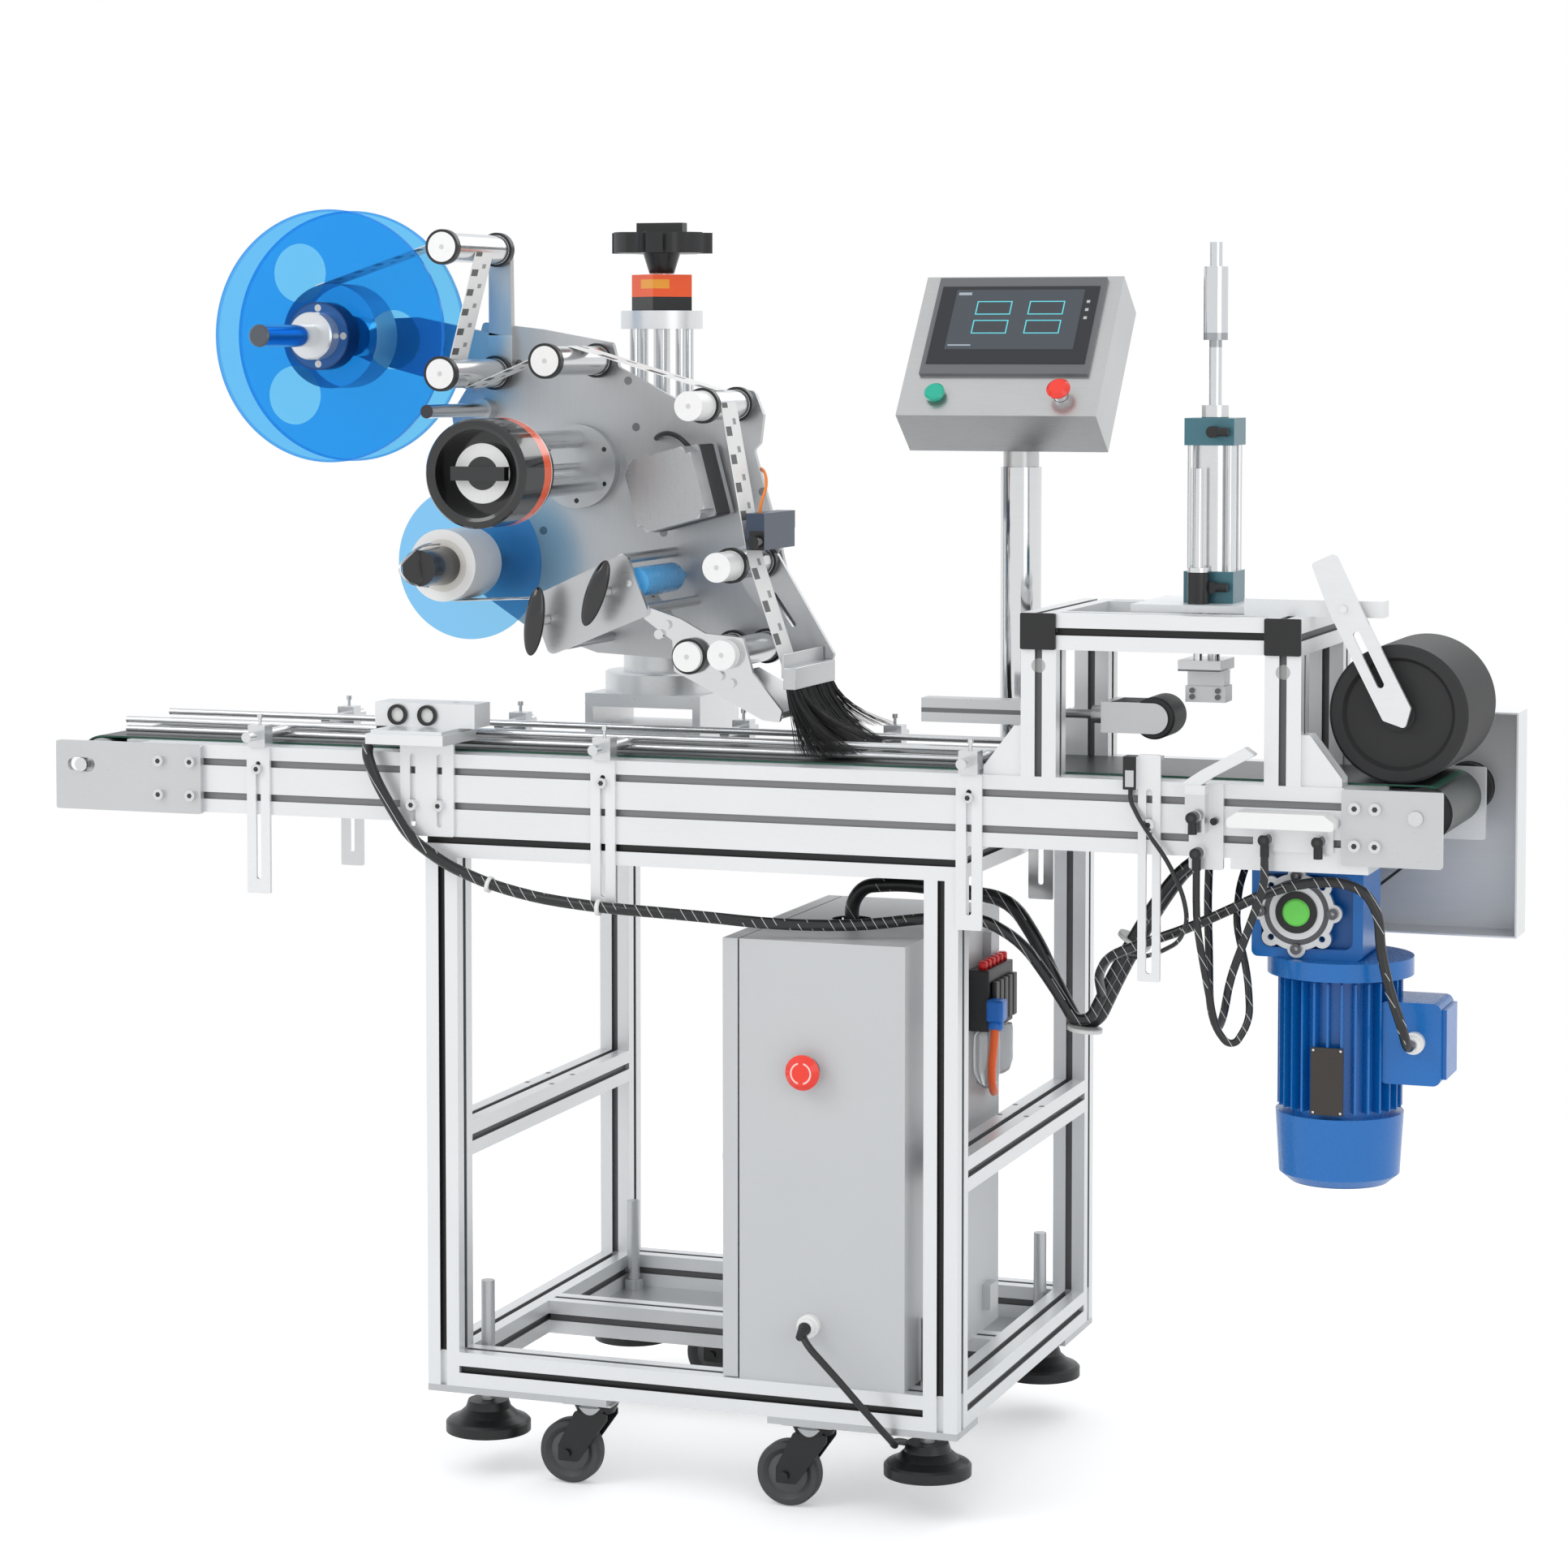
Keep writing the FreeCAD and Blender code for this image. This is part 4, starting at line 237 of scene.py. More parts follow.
def boxCentre(name):
    # a node's middle in x and z
    low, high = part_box(name)
    return (low[0] + high[0]) / 2 * 1000 + origin["x"], (low[2] + high[2]) / 2 * 1000


# Camera, fitted to the photograph's perspective: focal length and width in its pixels, angles in degrees
view = {"focal": 4855.54, "width": 1932, "yaw": 19.7463, "pitch": 3.1968, "x": 1928.67, "y": -4140.90,
        "z": 1323.14, "shift": -0.14}


def makeCamera():
    data = bpy.data.cameras.new("camera")
    data.sensor_width = 36
    data.lens = 36 * view["focal"] / view["width"]
    data.shift_y = view["shift"]
    data.clip_end = 50
    camera = bpy.data.objects.new("camera", data)
    camera.location = spot(view["x"], view["y"], view["z"])
    camera.rotation_euler = (math.radians(90 - view["pitch"]), 0, math.radians(view["yaw"]))
    bpy.context.scene.collection.objects.link(camera)
    bpy.context.scene.camera = camera


makeCamera()
print("camera placed")

# Power cord: the tube's route from the gland, then the coil's turns
cord = {"diameter": 8, "exit": (472, -12, 218), "coilX": 295, "coilY": 670, "rings": (48, 40, 40, 48, 48),
        "levels": (4, 4, 12, 12, 12), "perTurn": 14, "firstAngle": 0, "lastAngle": 85}


def link(piece):
    bpy.context.scene.collection.objects.link(piece)
    return piece


def cordRoute():
    lead = [cord["exit"], (474, -30, 215), (486, -40, 204), (503, -44, 190), (526, -45, 168),
            (549, -40, 141), (566, -24, 114), (573, -2, 94), (568, 22, 84), (557, 42, 80), (552, 76, 74),
            (557, 112, 62), (566, 148, 40), (568, 186, 16), (560, 228, 4), (540, 272, 4), (524, 318, 4),
            (508, 362, 4), (488, 400, 4), (455, 425, 4), (420, 448, 4), (392, 482, 4), (378, 524, 4),
            (366, 566, 4), (356, 610, 4), (347, 648, 4)]
    turns = len(cord["rings"]) - 1
    steps = turns * cord["perTurn"] + round((cord["lastAngle"] - cord["firstAngle"]) / 360 * cord["perTurn"])
    coil = []
    for step in range(steps + 1):
        turn = step / cord["perTurn"]
        whole = min(int(turn), turns - 1)
        part = min(1, max(0, (turn - whole - 0.75) * 4))  # the last quarter goes over to the next ring
        ring = cord["rings"][whole] * (1 - part) + cord["rings"][whole + 1] * part
        level = cord["levels"][whole] * (1 - part) + cord["levels"][whole + 1] * part
        angle = math.radians(cord["firstAngle"] + turn * 360)
        coil.append((cord["coilX"] + ring * math.cos(angle), cord["coilY"] + ring * math.sin(angle), level))
    end = [(290, 717, 12), (267, 719.5, 12), (244, 719, 12)]
    return lead + coil + end


def makeCurve(name, points, diameter):
    curve = bpy.data.curves.new(name, "CURVE")
    curve.dimensions = "3D"
    curve.bevel_depth = 1  # the points' radius gives the thickness
    curve.bevel_resolution = 6
    curve.resolution_u = 6
    curve.use_fill_caps = True
    spline = curve.splines.new("NURBS")
    spline.points.add(len(points) - 1)
    for point, place in zip(spline.points, points):
        point.co = (*spot(*place), 1)
        point.radius = diameter / 2000
    spline.order_u = 3
    spline.use_endpoint_u = True
    return link(bpy.data.objects.new(name, curve))


cordPoints = cordRoute()
cordPiece = makeCurve("powerCord", cordPoints, cord["diameter"])
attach(cordPiece, "frame")
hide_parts("power_cord", "cord_coil")
tuple(spot(*cord["exit"]))
cordRuns = sum((spot(*after) - spot(*before)).length for before, after in zip(cordPoints, cordPoints[1:]))
print("cord made, runs add up to", round(cordRuns, 3))


# Small pieces: the shapes that they are built from
def meshPiece(name, body, build):
    shape = bmesh.new()
    build(shape)
    mesh = bpy.data.meshes.new(name)
    shape.to_mesh(mesh)
    shape.free()
    for face in mesh.polygons:
        face.use_smooth = len(face.vertices) == 4
    piece = link(bpy.data.objects.new(name, mesh))
    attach(piece, body)
    return piece


def makeLead(name, body, points, diameter):
    piece = makeCurve(name, points, diameter)
    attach(piece, body)
    return piece


def joinRings(shape, rings):
    # faces between rings with the same number of corners
    for low, high in zip(rings, rings[1:]):
        for side in range(len(low)):
            after = (side + 1) % len(low)
            shape.faces.new((low[side], low[after], high[after], high[side]))


def lathe(shape, start, end, profile, sides=24):
    # profile is (radius, share of the way) pairs between two places
    first = spot(*start)
    way = spot(*end) - first
    turn = way.to_track_quat("Z", "Y")
    rings = []
    for radius, along in profile:
        ring = []
        for step in range(sides):
            angle = 2 * math.pi * step / sides
            flat = Vector((math.cos(angle) * radius / 1000, math.sin(angle) * radius / 1000, 0))
            ring.append(shape.verts.new(first + turn @ flat + way * along))
        rings.append(ring)
    joinRings(shape, rings)
    shape.faces.new(tuple(reversed(rings[0])))
    shape.faces.new(tuple(rings[-1]))


def block(shape, low, high, bevel):
    made = bmesh.ops.create_cube(shape, size=1)
    first = spot(*low)
    last = spot(*high)
    for vert in made["verts"]:
        share = vert.co + Vector((0.5, 0.5, 0.5))
        vert.co = Vector(tuple(a + (b - a) * s for a, b, s in zip(first, last, share)))
    edges = {edge for vert in made["verts"] for edge in vert.link_edges}
    bmesh.ops.bevel(shape, geom=list(edges), offset=bevel / 1000, segments=2, affect="EDGES", profile=0.7)


# The cord's strain relief at the cabinet
relief = {"start": (472, -14.2, 218), "end": (474.5, -38, 214), "near": 7.5, "far": 4.6,
          "ribs": 5, "groove": 0.5}


def buildRelief(shape):
    profile = [(relief["near"], 0), (relief["near"], 0.04)]
    for rib in range(relief["ribs"]):
        share = (rib + 1) / relief["ribs"]
        radius = relief["near"] * (1 - share) + relief["far"] * share
        inner = radius - relief["groove"]
        profile += [(radius, share - 0.12), (inner, share - 0.08), (inner, share - 0.03), (radius, share)]
    lathe(shape, relief["start"], relief["end"], profile)


reliefPiece = meshPiece("strainRelief", "frame", buildRelief)

# Painted shade in the hex recesses of the socket screws: thin dark hexagons, from the places of their front
# faces
recess = {"reach": 3.2, "deep": 0.3, "proud": 0.2}


def recessPlaces():
    places = [(x, -14, z) for x in (-342, -300, 1091, 1113) for z in (790, 830)]
    places += [(x, -10, 824.4) for x in (-214, 224, 660)]
    places += [(-14, -10, 790), (20, -10, 790), (864.5, -10, 803)]
    places += [(920, -40, 816), (920, -21, 775), (995, -22, 793), (1053, -22, 793)]
    return places


def buildRecesses(shape):
    for x, y, z in recessPlaces():
        lathe(shape, (x, y + recess["deep"], z), (x, y - recess["proud"], z),
              [(recess["reach"], 0), (recess["reach"], 1)], 6)


recessPiece = meshPiece("screwRecesses", "frame", buildRecesses)

# Brush: strands from the holder down to the belt and over the guide rails
bristle = {"count": 1500, "front": 51, "wide": 135, "thick": 0.55, "steps": 6, "top": 934,
           "frontRail": (69, 83), "backRail": 177, "railTop": 881, "beltTop": 854.6}


def bristleRoute(dice):
    # start, bend and tip of one strand
    y = bristle["front"] + bristle["wide"] * dice.random()
    share = dice.random()
    onRail = bristle["frontRail"][0] < y < bristle["frontRail"][1] or bristle["backRail"] < y
    reach = 12 + 66 * share ** 0.8 + dice.uniform(-4, 4)
    if onRail:
        tipZ = bristle["railTop"] + dice.random() * 6
    else:
        tipZ = bristle["beltTop"] + 10 * max(0, share - 0.35) + dice.random() * 3
    start = Vector((426 + 10 * share, y, bristle["top"]))
    bend = Vector((start.x + 6 + 8 * share, y, (bristle["top"] + tipZ) / 2 - 8 * share))
    tip = Vector((start.x + reach, y + dice.uniform(-3, 3), tipZ))
    return start, bend, tip


def buildStrands(shape):
    dice = random.Random(7)
    for strand in range(bristle["count"]):
        start, bend, tip = bristleRoute(dice)
        rings = []
        for step in range(bristle["steps"] + 1):
            t = step / bristle["steps"]
            place = start * (1 - t) ** 2 + bend * 2 * t * (1 - t) + tip * t * t
            thick = bristle["thick"] * (1 - 0.5 * t)
            corners = [(place.x + thick * math.cos(angle), place.y + thick * math.sin(angle), place.z)
                       for angle in (0, 2.1, 4.2)]
            rings.append([shape.verts.new(spot(*corner)) for corner in corners])
        joinRings(shape, rings)


def buildHolder(shape):
    block(shape, (423.5, 50, 932), (438.5, 187, 957), 1.2)
    block(shape, (421, 50, 945), (424, 187, 972), 0.8)


strandPiece = meshPiece("bristles", "head", buildStrands)
holderPiece = meshPiece("brushHolder", "head", buildHolder)
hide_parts("brush")

# Bare plate on the motor, with a screw in each corner
plate = {"x": (1034, 1070), "y": (42, 44.6), "z": (488, 562), "inset": 3}


def buildPlate(shape):
    low, high = zip(plate["x"], plate["y"], plate["z"])
    block(shape, low, high, 0.6)


def buildPlateScrews(shape):
    inset = plate["inset"]
    for z in (plate["z"][0] + inset, plate["z"][1] - inset):
        for x in (plate["x"][0] + inset, plate["x"][1] - inset):
            lathe(shape, (x, 42.2, z), (x, 41.2, z), [(1.6, 0), (1.5, 0.6), (0.9, 1)], 12)


platePiece = meshPiece("ratingPlate", "frame", buildPlate)
plateScrews = meshPiece("ratingPlateScrews", "frame", buildPlateScrews)

# Air valve unit on the cabinet's right side
air = {"x": 584.2, "y": 232, "z": 520, "valves": 5, "valvePitch": 18, "ports": 6, "portPitch": 16}


def onAir(x, y, z):
    return air["x"] + x, air["y"] + y, air["z"] + z


def buildValves(shape):
    block(shape, onAir(0, 8, 0), onAir(26, 108, 72), 2)
    for step in range(air["valves"]):
        y = step * air["valvePitch"]
        block(shape, onAir(27, 16 + y, 8), onAir(33, 30 + y, 58), 1.5)


def buildBowls(shape):
    profile = [(15, 0), (16, 0.1), (16, 0.7), (12, 0.92), (5, 1)]
    for y, long in ((34, 70), (86, 62)):
        lathe(shape, onAir(16, y, -2), onAir(16, y, -long), profile)


def buildBlueFitting(shape):
    block(shape, onAir(26, -4, 14), onAir(46, 18, 40), 4)
    lathe(shape, onAir(36, 6, 16), onAir(36, 2, 4), [(9, 0), (9, 0.8), (7, 1)])


def buildRedPorts(shape):
    for step in range(air["ports"]):
        y = 18 + step * air["portPitch"]
        lathe(shape, onAir(16, y, 72), onAir(16, y, 82), [(5.5, 0), (5.5, 0.8), (4, 1)], 12)


valvePiece = meshPiece("airValves", "frame", buildValves)
bowlPiece = meshPiece("airBowls", "frame", buildBowls)
blueFittingPiece = meshPiece("airFitting", "frame", buildBlueFitting)
redPortPiece = meshPiece("airPorts", "frame", buildRedPorts)
orangeHose = makeLead("airHose", "frame",
                      [(620, 234, 526), (619, 232, 506), (614, 240, 478), (608, 262, 452),
                       (602, 292, 438), (592, 318, 442), (584.4, 332, 446)], 10)

# Leads held on the head: the stepper's black one and the label sensor's orange one
stepperLead = makeLead("stepperLead", "head",
                       [(272, 150, 1202), (262, 150, 1214), (238, 168, 1220), (214, 196, 1216),
                        (206, 209.6, 1212)], 6)
sensorLead = makeLead("labelSensorLead", "head",
                      [(377, 100, 1130), (378, 100, 1142), (384, 104, 1160), (378, 116, 1176),
                       (360, 150, 1180), (346, 190, 1176), (342, 209.6, 1174)], 3.6)


# Thin joint plate where the reel arm and the top arm cross
def buildJointPlate(shape):
    block(shape, (-6.6, 199.1, 1299.4), (24.6, 199.9, 1334), 0.3)


jointPiece = meshPiece("armJointPlate", "head", buildJointPlate)

# Wire clip over the rewind mandrel
clipPiece = makeLead("mandrelClip", "rewind_reel",
                     [(-9, 62, 1090), (-9, 20, 1092), (-12, -8, 1082), (-22, -26, 1066),
                      (-14, -18, 1050), (-9, 6, 1044), (-9, 30, 1041)], 3.4)

# White ties round the looms: place, the loom's way there, and radius
ties = {"wide": 4.5, "thick": 1.2,
        "places": (((224, -16, 683), (1, 0.02, -0.03), 8.2), ((749, 158, 546), (0.1, 0, 1), 19),
                   ((806, 160, 650), (0.5, 0, 0.9), 19), ((88, -16, 703), (1, 0, -0.25), 8.2))}


def buildTies(shape):
    for place, way, radius in ties["places"]:
        middle = Vector(place)
        half = Vector(way).normalized() * (ties["wide"] / 2)
        outer = radius + ties["thick"]
        lathe(shape, tuple(middle - half), tuple(middle + half),
              [(radius, 0), (outer, 0), (outer, 1), (radius, 1)])


tiePiece = meshPiece("cableTies", "frame", buildTies)
print("small pieces made")


# Finishes; colours are linear; the slot tint is painted shade for the floors of slots and grooves
tints = {"anodised": (0.80, 0.81, 0.82), "machined": (0.56, 0.57, 0.58), "steel": (0.60, 0.60, 0.60),
         "slot": (0.16, 0.16, 0.165), "shadow": (0.05, 0.05, 0.052), "black": (0.010, 0.010, 0.011),
         "rubber": (0.018, 0.018, 0.019), "white": (0.84, 0.84, 0.83), "cabinet": (0.55, 0.56, 0.57),
         "motor": (0.0015, 0.14, 0.47), "reel": (0.004, 0.25, 0.80), "paleReel": (0.10, 0.46, 0.90),
         "belt": (0.012, 0.020, 0.017), "orange": (0.90, 0.10, 0.015), "red": (0.86, 0.03, 0.012),
         "teal": (0.06, 0.17, 0.21), "lime": (0.16, 0.72, 0.10), "start": (0.0, 0.42, 0.28),
         "chrome": (0.72, 0.73, 0.74), "slate": (0.030, 0.036, 0.045), "icon": (0.10, 0.55, 0.62)}


def metal(name, tint="machined", rough=0.32, metallic=0.7):
    return Finish(name, tints[tint], rough, metallic)


def plain(name, tint, rough=0.4, **fixed):
    return Finish(name, tints[tint], rough, **fixed)


# Slotted bars: half a slot's width, and how far the slot's floor lies from the bar's middle
bar = {"slotHalf": 4.2, "floorHalf": 3, "floorReach": 16.4}


def barSlots(finish, name, *centres):
    # a slot's width and the layer of its floor, for bars centred here along one axis
    floors = [centre + side * bar["floorReach"] for centre in centres for side in (-1, 1)]
    return finish.near(name, bar["slotHalf"], *centres), finish.near(name, bar["floorHalf"], *floors)


def standFinish():
    bars = metal("standBars", "anodised", 0.34, 0.45)
    slotX, deepX = barSlots(bars, "x", 20, 627)
    slotY, deepY = barSlots(bars, "y", 20, 550, 285, 350)
    slotZ, deepZ = barSlots(bars, "z", 130, 395, 750)
    posts = bars.within(z=(150, 730)) * (slotX * deepY | slotY * deepX)
    across = bars.within(y=(40, 530)) * (slotZ * deepX | slotX * deepZ)
    along = bars.within(x=(40, 607)) * (slotZ * deepY | slotY * deepZ)
    front = bars.within(x=(0, 647), y=(0.5, 7)) * bars.near("z", bar["slotHalf"], 750)
    # painted shade on the slot floors of the stand's bars
    bars.zone(posts | across | along, tints["slot"], 0.5, 0.2)
    bars.zone((posts | along | front) * bars.within(y=(0.6, 7)), tints["black"], 0.4, 0.0)
    dress("base_frame", bars.done((2, 2, 2), 220, 0.08, 0.04))


tower = {"x": (738, 1010), "y": (20, 240), "top": 1010, "screwZ": 972}


def towerFinish():
    bars = metal("towerBars", "anodised", 0.34, 0.4)
    slotX, deepX = barSlots(bars, "x", *tower["x"])
    slotY, deepY = barSlots(bars, "y", *tower["y"])
    slotZ, deepZ = barSlots(bars, "z", tower["top"])
    posts = bars.within(z=(850, 990)) * (slotX * deepY | slotY * deepX)
    beams = bars.within(x=(758, 990)) * (slotZ * deepY | slotY * deepZ)
    sides = bars.within(y=(0, 260), z=(990, 1030)) * (slotZ * deepX | slotX * deepZ)
    caps = bars.within(y=(-5, -0.05), z=(989.9, 1030.1))
    screws = bars.disc("xz", 8, *[(x, tower["screwZ"]) for x in tower["x"]]) * bars.within(y=(-1, 8))
    # painted shade on the slot floors of the tower's bars
    bars.zone(posts | beams | sides, tints["slot"], 0.5, 0.2)
    bars.zone(beams * bars.within(y=(0.6, 7)), tints["black"], 0.4, 0.0)
    bars.zone(caps, tints["black"], 0.35, 0.0)
    bars.zone(screws, (0.45, 0.45, 0.45), 0.4, 0.2)
    dress("tower_frame", bars.done((2, 2, 2), 220, 0.08, 0.04))


# Conveyor rails with what is bolted to them; eyes are the sensor block's lenses
rails = {"slotZ": (790, 830), "floorY": (3.6, 26.4, 233.6, 256.4), "run": (-371, 1119),
         "eyes": ((-43.5, 892), (-5.5, 892)), "valveX": (920, 995, 1053)}


def railFinish():
    rail = metal("conveyorRails", "anodised", 0.33, 0.45)
    slots = rail.near("z", bar["slotHalf"], *rails["slotZ"])
    floors = rail.near("y", bar["floorHalf"], *rails["floorY"])
    # painted shade on the slot floors of the rails
    rail.zone(slots * floors * rail.within(x=rails["run"]), (0.30, 0.30, 0.31), 0.45, 0.3)
    rail.zone(rail.within(y=(None, -8.1), z=(780, 840)), tints["chrome"], 0.2, 0.9)
    endPlates = rail.within(y=(-8.1, -0.1), x=(-483, -287)) | rail.within(y=(-8.1, -0.1), x=(1076, 1185))
    rail.zone(endPlates, (0.60, 0.61, 0.62), 0.3, 0.6)
    strapSensor = rail.within(x=(836.9, 851.9), y=(None, 8.2), z=(840, 878))
    rail.zone(strapSensor, tints["black"], 0.35, 0.0)
    rail.zone(rail.within(x=(839.5, 849), y=(None, -11.9), z=(844, 862)), (0.55, 0.55, 0.55), 0.3, 0.0)
    valveCover = rail.within(x=(956, 1074), y=(None, -6.3), z=(806.5, 825))
    rail.zone(valveCover, tints["white"], 0.35, 0.0)
    elbows = rail.near("x", 8, *rails["valveX"]) * rail.within(y=(-22.5, -8), z=(740, 799))
    rail.zone(elbows, tints["black"], 0.3, 0.0)
    rail.zone(rail.near("x", 7, rails["valveX"][0]) * rail.within(y=(None, -27)), tints["black"], 0.3, 0.0)
    rail.zone(rail.within(x=(931.2, 956), y=(None, -5.3), z=(788, 828)), tints["black"], 0.3, 0.0)
    eyeFronts = rail.within(y=(15, 20.5))
    rail.zone(rail.disc("xz", 12.1, *rails["eyes"]) * eyeFronts, tints["black"], 0.3, 0.0)
    rail.zone(rail.disc("xz", 8.4, *rails["eyes"]) * eyeFronts, (0.78, 0.78, 0.76), 0.2, 0.0)
    dress("conveyor_frame", rail.done((0.6, 6, 6), 200, 0.1, 0.05))


def beltFinish():
    belt = plain("conveyorBelt", "belt", 0.36)
    belt.zone(belt.within(z=(849, 851.5)), (0.01, 0.10, 0.06), 0.5)  # green edge
    dress("conveyor_belt", belt.done((1, 8, 1), 160, 0.3, 0.04, 0.08))


def conveyorRollerFinish():
    press = plain("pressRollerRubber", "rubber", 0.62)
    dress("press_roller", press.done((1, 1, 1), 400, 0.25, 0.15))
    drive = plain("driveRollerRubber", "rubber", 0.5)
    drive.zone(drive.within(y=(None, 40.5)), tints["chrome"], 0.2, 0.9)
    dress("drive_roller", drive.done((1, 1, 1), 300, 0.2, 0.1))
    idler = metal("idlerRoller", "machined", 0.3, 0.8)
    dress("idler_roller", idler.done())


def guideFinish():
    rods = metal("guideRods", "chrome", 0.2, 0.75)
    rods.zone(rods.within(y=(-4.1, 0.1), z=(None, 850.5)), tints["anodised"], 0.36, 0.35)
    rods.zone(rods.within(z=(876, None)), tints["chrome"], 0.15, 1.0)
    rods.zone(rods.within(y=(None, -4.2), z=(815, 832)), tints["chrome"], 0.18, 1.0)
    dress("side_guides", rods.done((3, 3, 3), 200, 0.12, 0.04))


# Control cabinet: middles of the cord gland, the emergency stop and the looms' hole on top
cabinet = {"gland": (472, 218), "stop": (469, 508), "loomHole": (457, 194)}


def cabinetFinish():
    paint = plain("cabinetPaint", "cabinet", 0.36)
    front = paint.within(y=(None, 3.6))
    paint.zone(paint.disc("xz", 13.2, cabinet["gland"]) * front, tints["white"], 0.3)
    paint.zone(paint.disc("xz", 15.4, cabinet["stop"]) * front, (0.35, 0.35, 0.36), 0.3, 0.8)
    top = paint.within(z=(650.5, 653.5))
    paint.zone(paint.disc("xy", 23.5, cabinet["loomHole"]) * top, tints["black"], 0.5)
    dress("cabinet_shell", paint.done((1, 1, 1), 700, 0.07, 0.06))
    door = plain("doorPaint", "cabinet", 0.36)
    dress("cabinet_door", door.done((1, 1, 1), 700, 0.07, 0.06))
    gear = plain("controlGear", "shadow", 0.45)
    dress("control_gear", gear.done((1, 1, 1), 300, 0.2, 0.08))


def cabinetStopFinish():
    stop = plain("stopButton", "red", 0.22, Coat_Weight=0.4)
    ring = stop.disc("xz", 12.5, cabinet["stop"]) * (1.0 - stop.disc("xz", 10.6, cabinet["stop"]))
    gaps = stop.near("x", 3, cabinet["stop"][0])
    stop.zone(ring * stop.within(y=(None, -18)) * (1.0 - gaps), (0.85, 0.60, 0.55), 0.3)
    stop.zone(stop.within(y=(-9.5, None)), tints["chrome"], 0.25, 0.8)
    dress("cabinet_stop", stop.done((1, 1, 1), 300, 0.06, 0.02))


# Console: lower left corner of its leaning face
console = {"x": 500, "y": 223, "z": 1241, "lean": 37.5}


def consoleAxes(finish):
    # how far up the leaning face, and how far behind it
    lean = math.radians(console["lean"])
    back = finish.axis("y") - console["y"]
    rise = finish.axis("z") - console["z"]
    return back * math.sin(lean) + rise * math.cos(lean), back * math.cos(lean) - rise * math.sin(lean)


def consoleFinish():
    steel = metal("consoleSteel", "steel", 0.3, 0.85)
    dress("console_box", steel.done((1, 90, 90), 30, 0.22, 0.08, 0.08))
    pole = metal("polishedPole", "chrome", 0.09, 1.0)
    dress("console_pole", pole.done((1, 1, 12), 20, 0.08, 0.02, 0.03))
    start = plain("startButton", "start", 0.2, Coat_Weight=0.4)
    dress("start_button", start.done((1, 1, 1), 300, 0.08, 0.02))
    stop = plain("consoleStop", "red", 0.22, Coat_Weight=0.4)
    into = consoleAxes(stop)[1]
    stop.zone(into > -11.5, tints["chrome"], 0.25, 0.8)
    dress("console_stop", stop.done((1, 1, 1), 300, 0.06, 0.02))


# Touch screen: left, right, low and high of its areas on the console's face
screenAreas = {"glass": (24, 217, 70, 186), "display": (43, 199, 92, 180), "front": -5.2,
               "iconLeft": (71, 135), "iconLow": (143, 115), "iconWide": 43, "iconHigh": 20, "line": 1.4,
               "markLow": (160, 148, 136), "bars": ((46, 74, 97, 99), (46, 62, 172, 176))}


def screenFinish():
    screen = Finish("touchScreen", tints["slate"], 0.12)
    up, into = consoleAxes(screen)

    def patch(left, right, low, high):
        wide = screen.within(x=(console["x"] + left, console["x"] + right))
        return wide * (up > low) * (up < high) * (into < screenAreas["front"])

    def paint(mask, color):
        screen.tone = screen.mix(mask, screen.tone, color)

    screen.tone = screen.mix(patch(*screenAreas["glass"]), tints["slate"], (0.016, 0.018, 0.022))
    screen.tone = screen.mix(into < screenAreas["front"], (0.13, 0.135, 0.145), screen.tone)
    display = patch(*screenAreas["display"])
    paint(display, (0.045, 0.055, 0.066))
    wide, high, line = screenAreas["iconWide"], screenAreas["iconHigh"], screenAreas["line"]
    for low in screenAreas["iconLow"]:
        for left in screenAreas["iconLeft"]:
            whole = patch(left, left + wide, low, low + high)
            hole = patch(left + line, left + wide - line, low + line, low + high - line)
            paint(whole * (1.0 - hole), tints["icon"])
            paint(hole, (0.035, 0.042, 0.050))
    for low in screenAreas["markLow"]:
        paint(patch(204, 208, low, low + 4), (0.5, 0.5, 0.5))
    for area in screenAreas["bars"]:
        paint(patch(*area), (0.3, 0.34, 0.38))
    screen.set("Emission Color", screen.mix(display, (0, 0, 0), screen.tone))
    screen.set("Emission Strength", 0.25)
    dress("touch_screen", screen.done((1, 1, 1), 90, 0.05, 0.01, 0.02))


def columnFinish():
    column = metal("liftColumn", "anodised", 0.3, 0.6)
    column.zone(column.within(z=(952, 1342)), tints["chrome"], 0.12, 1.0)
    column.zone(column.within(z=(1364, 1409)), tints["orange"], 0.3, 0.0)  # position counter
    column.zone(column.within(z=(1364, 1381)), tints["black"], 0.3, 0.0)
    column.zone(column.within(z=(1391, 1402), x=(138, 176)), (0.9, 0.35, 0.02), 0.3, 0.0)
    dress("lift_column", column.done((2, 2, 2), 200, 0.1, 0.04))
    knob = plain("heightKnob", "black", 0.32)
    knob.zone(knob.within(z=(None, 1409.9)), tints["chrome"], 0.15, 1.0)
    dress("height_knob", knob.done((1, 1, 1), 500, 0.2, 0.08))


# Label head: middles of what is mounted on its plate, and the screws that show in it
head = {"tension": (109, 1178), "tensionPost": (-12, 1245), "plateFront": (209, 211),
        "screws": ((29, 1300), (170, 1280), (300, 1230), (340, 1150), (60, 1100), (215, 1100), (180, 1225))}


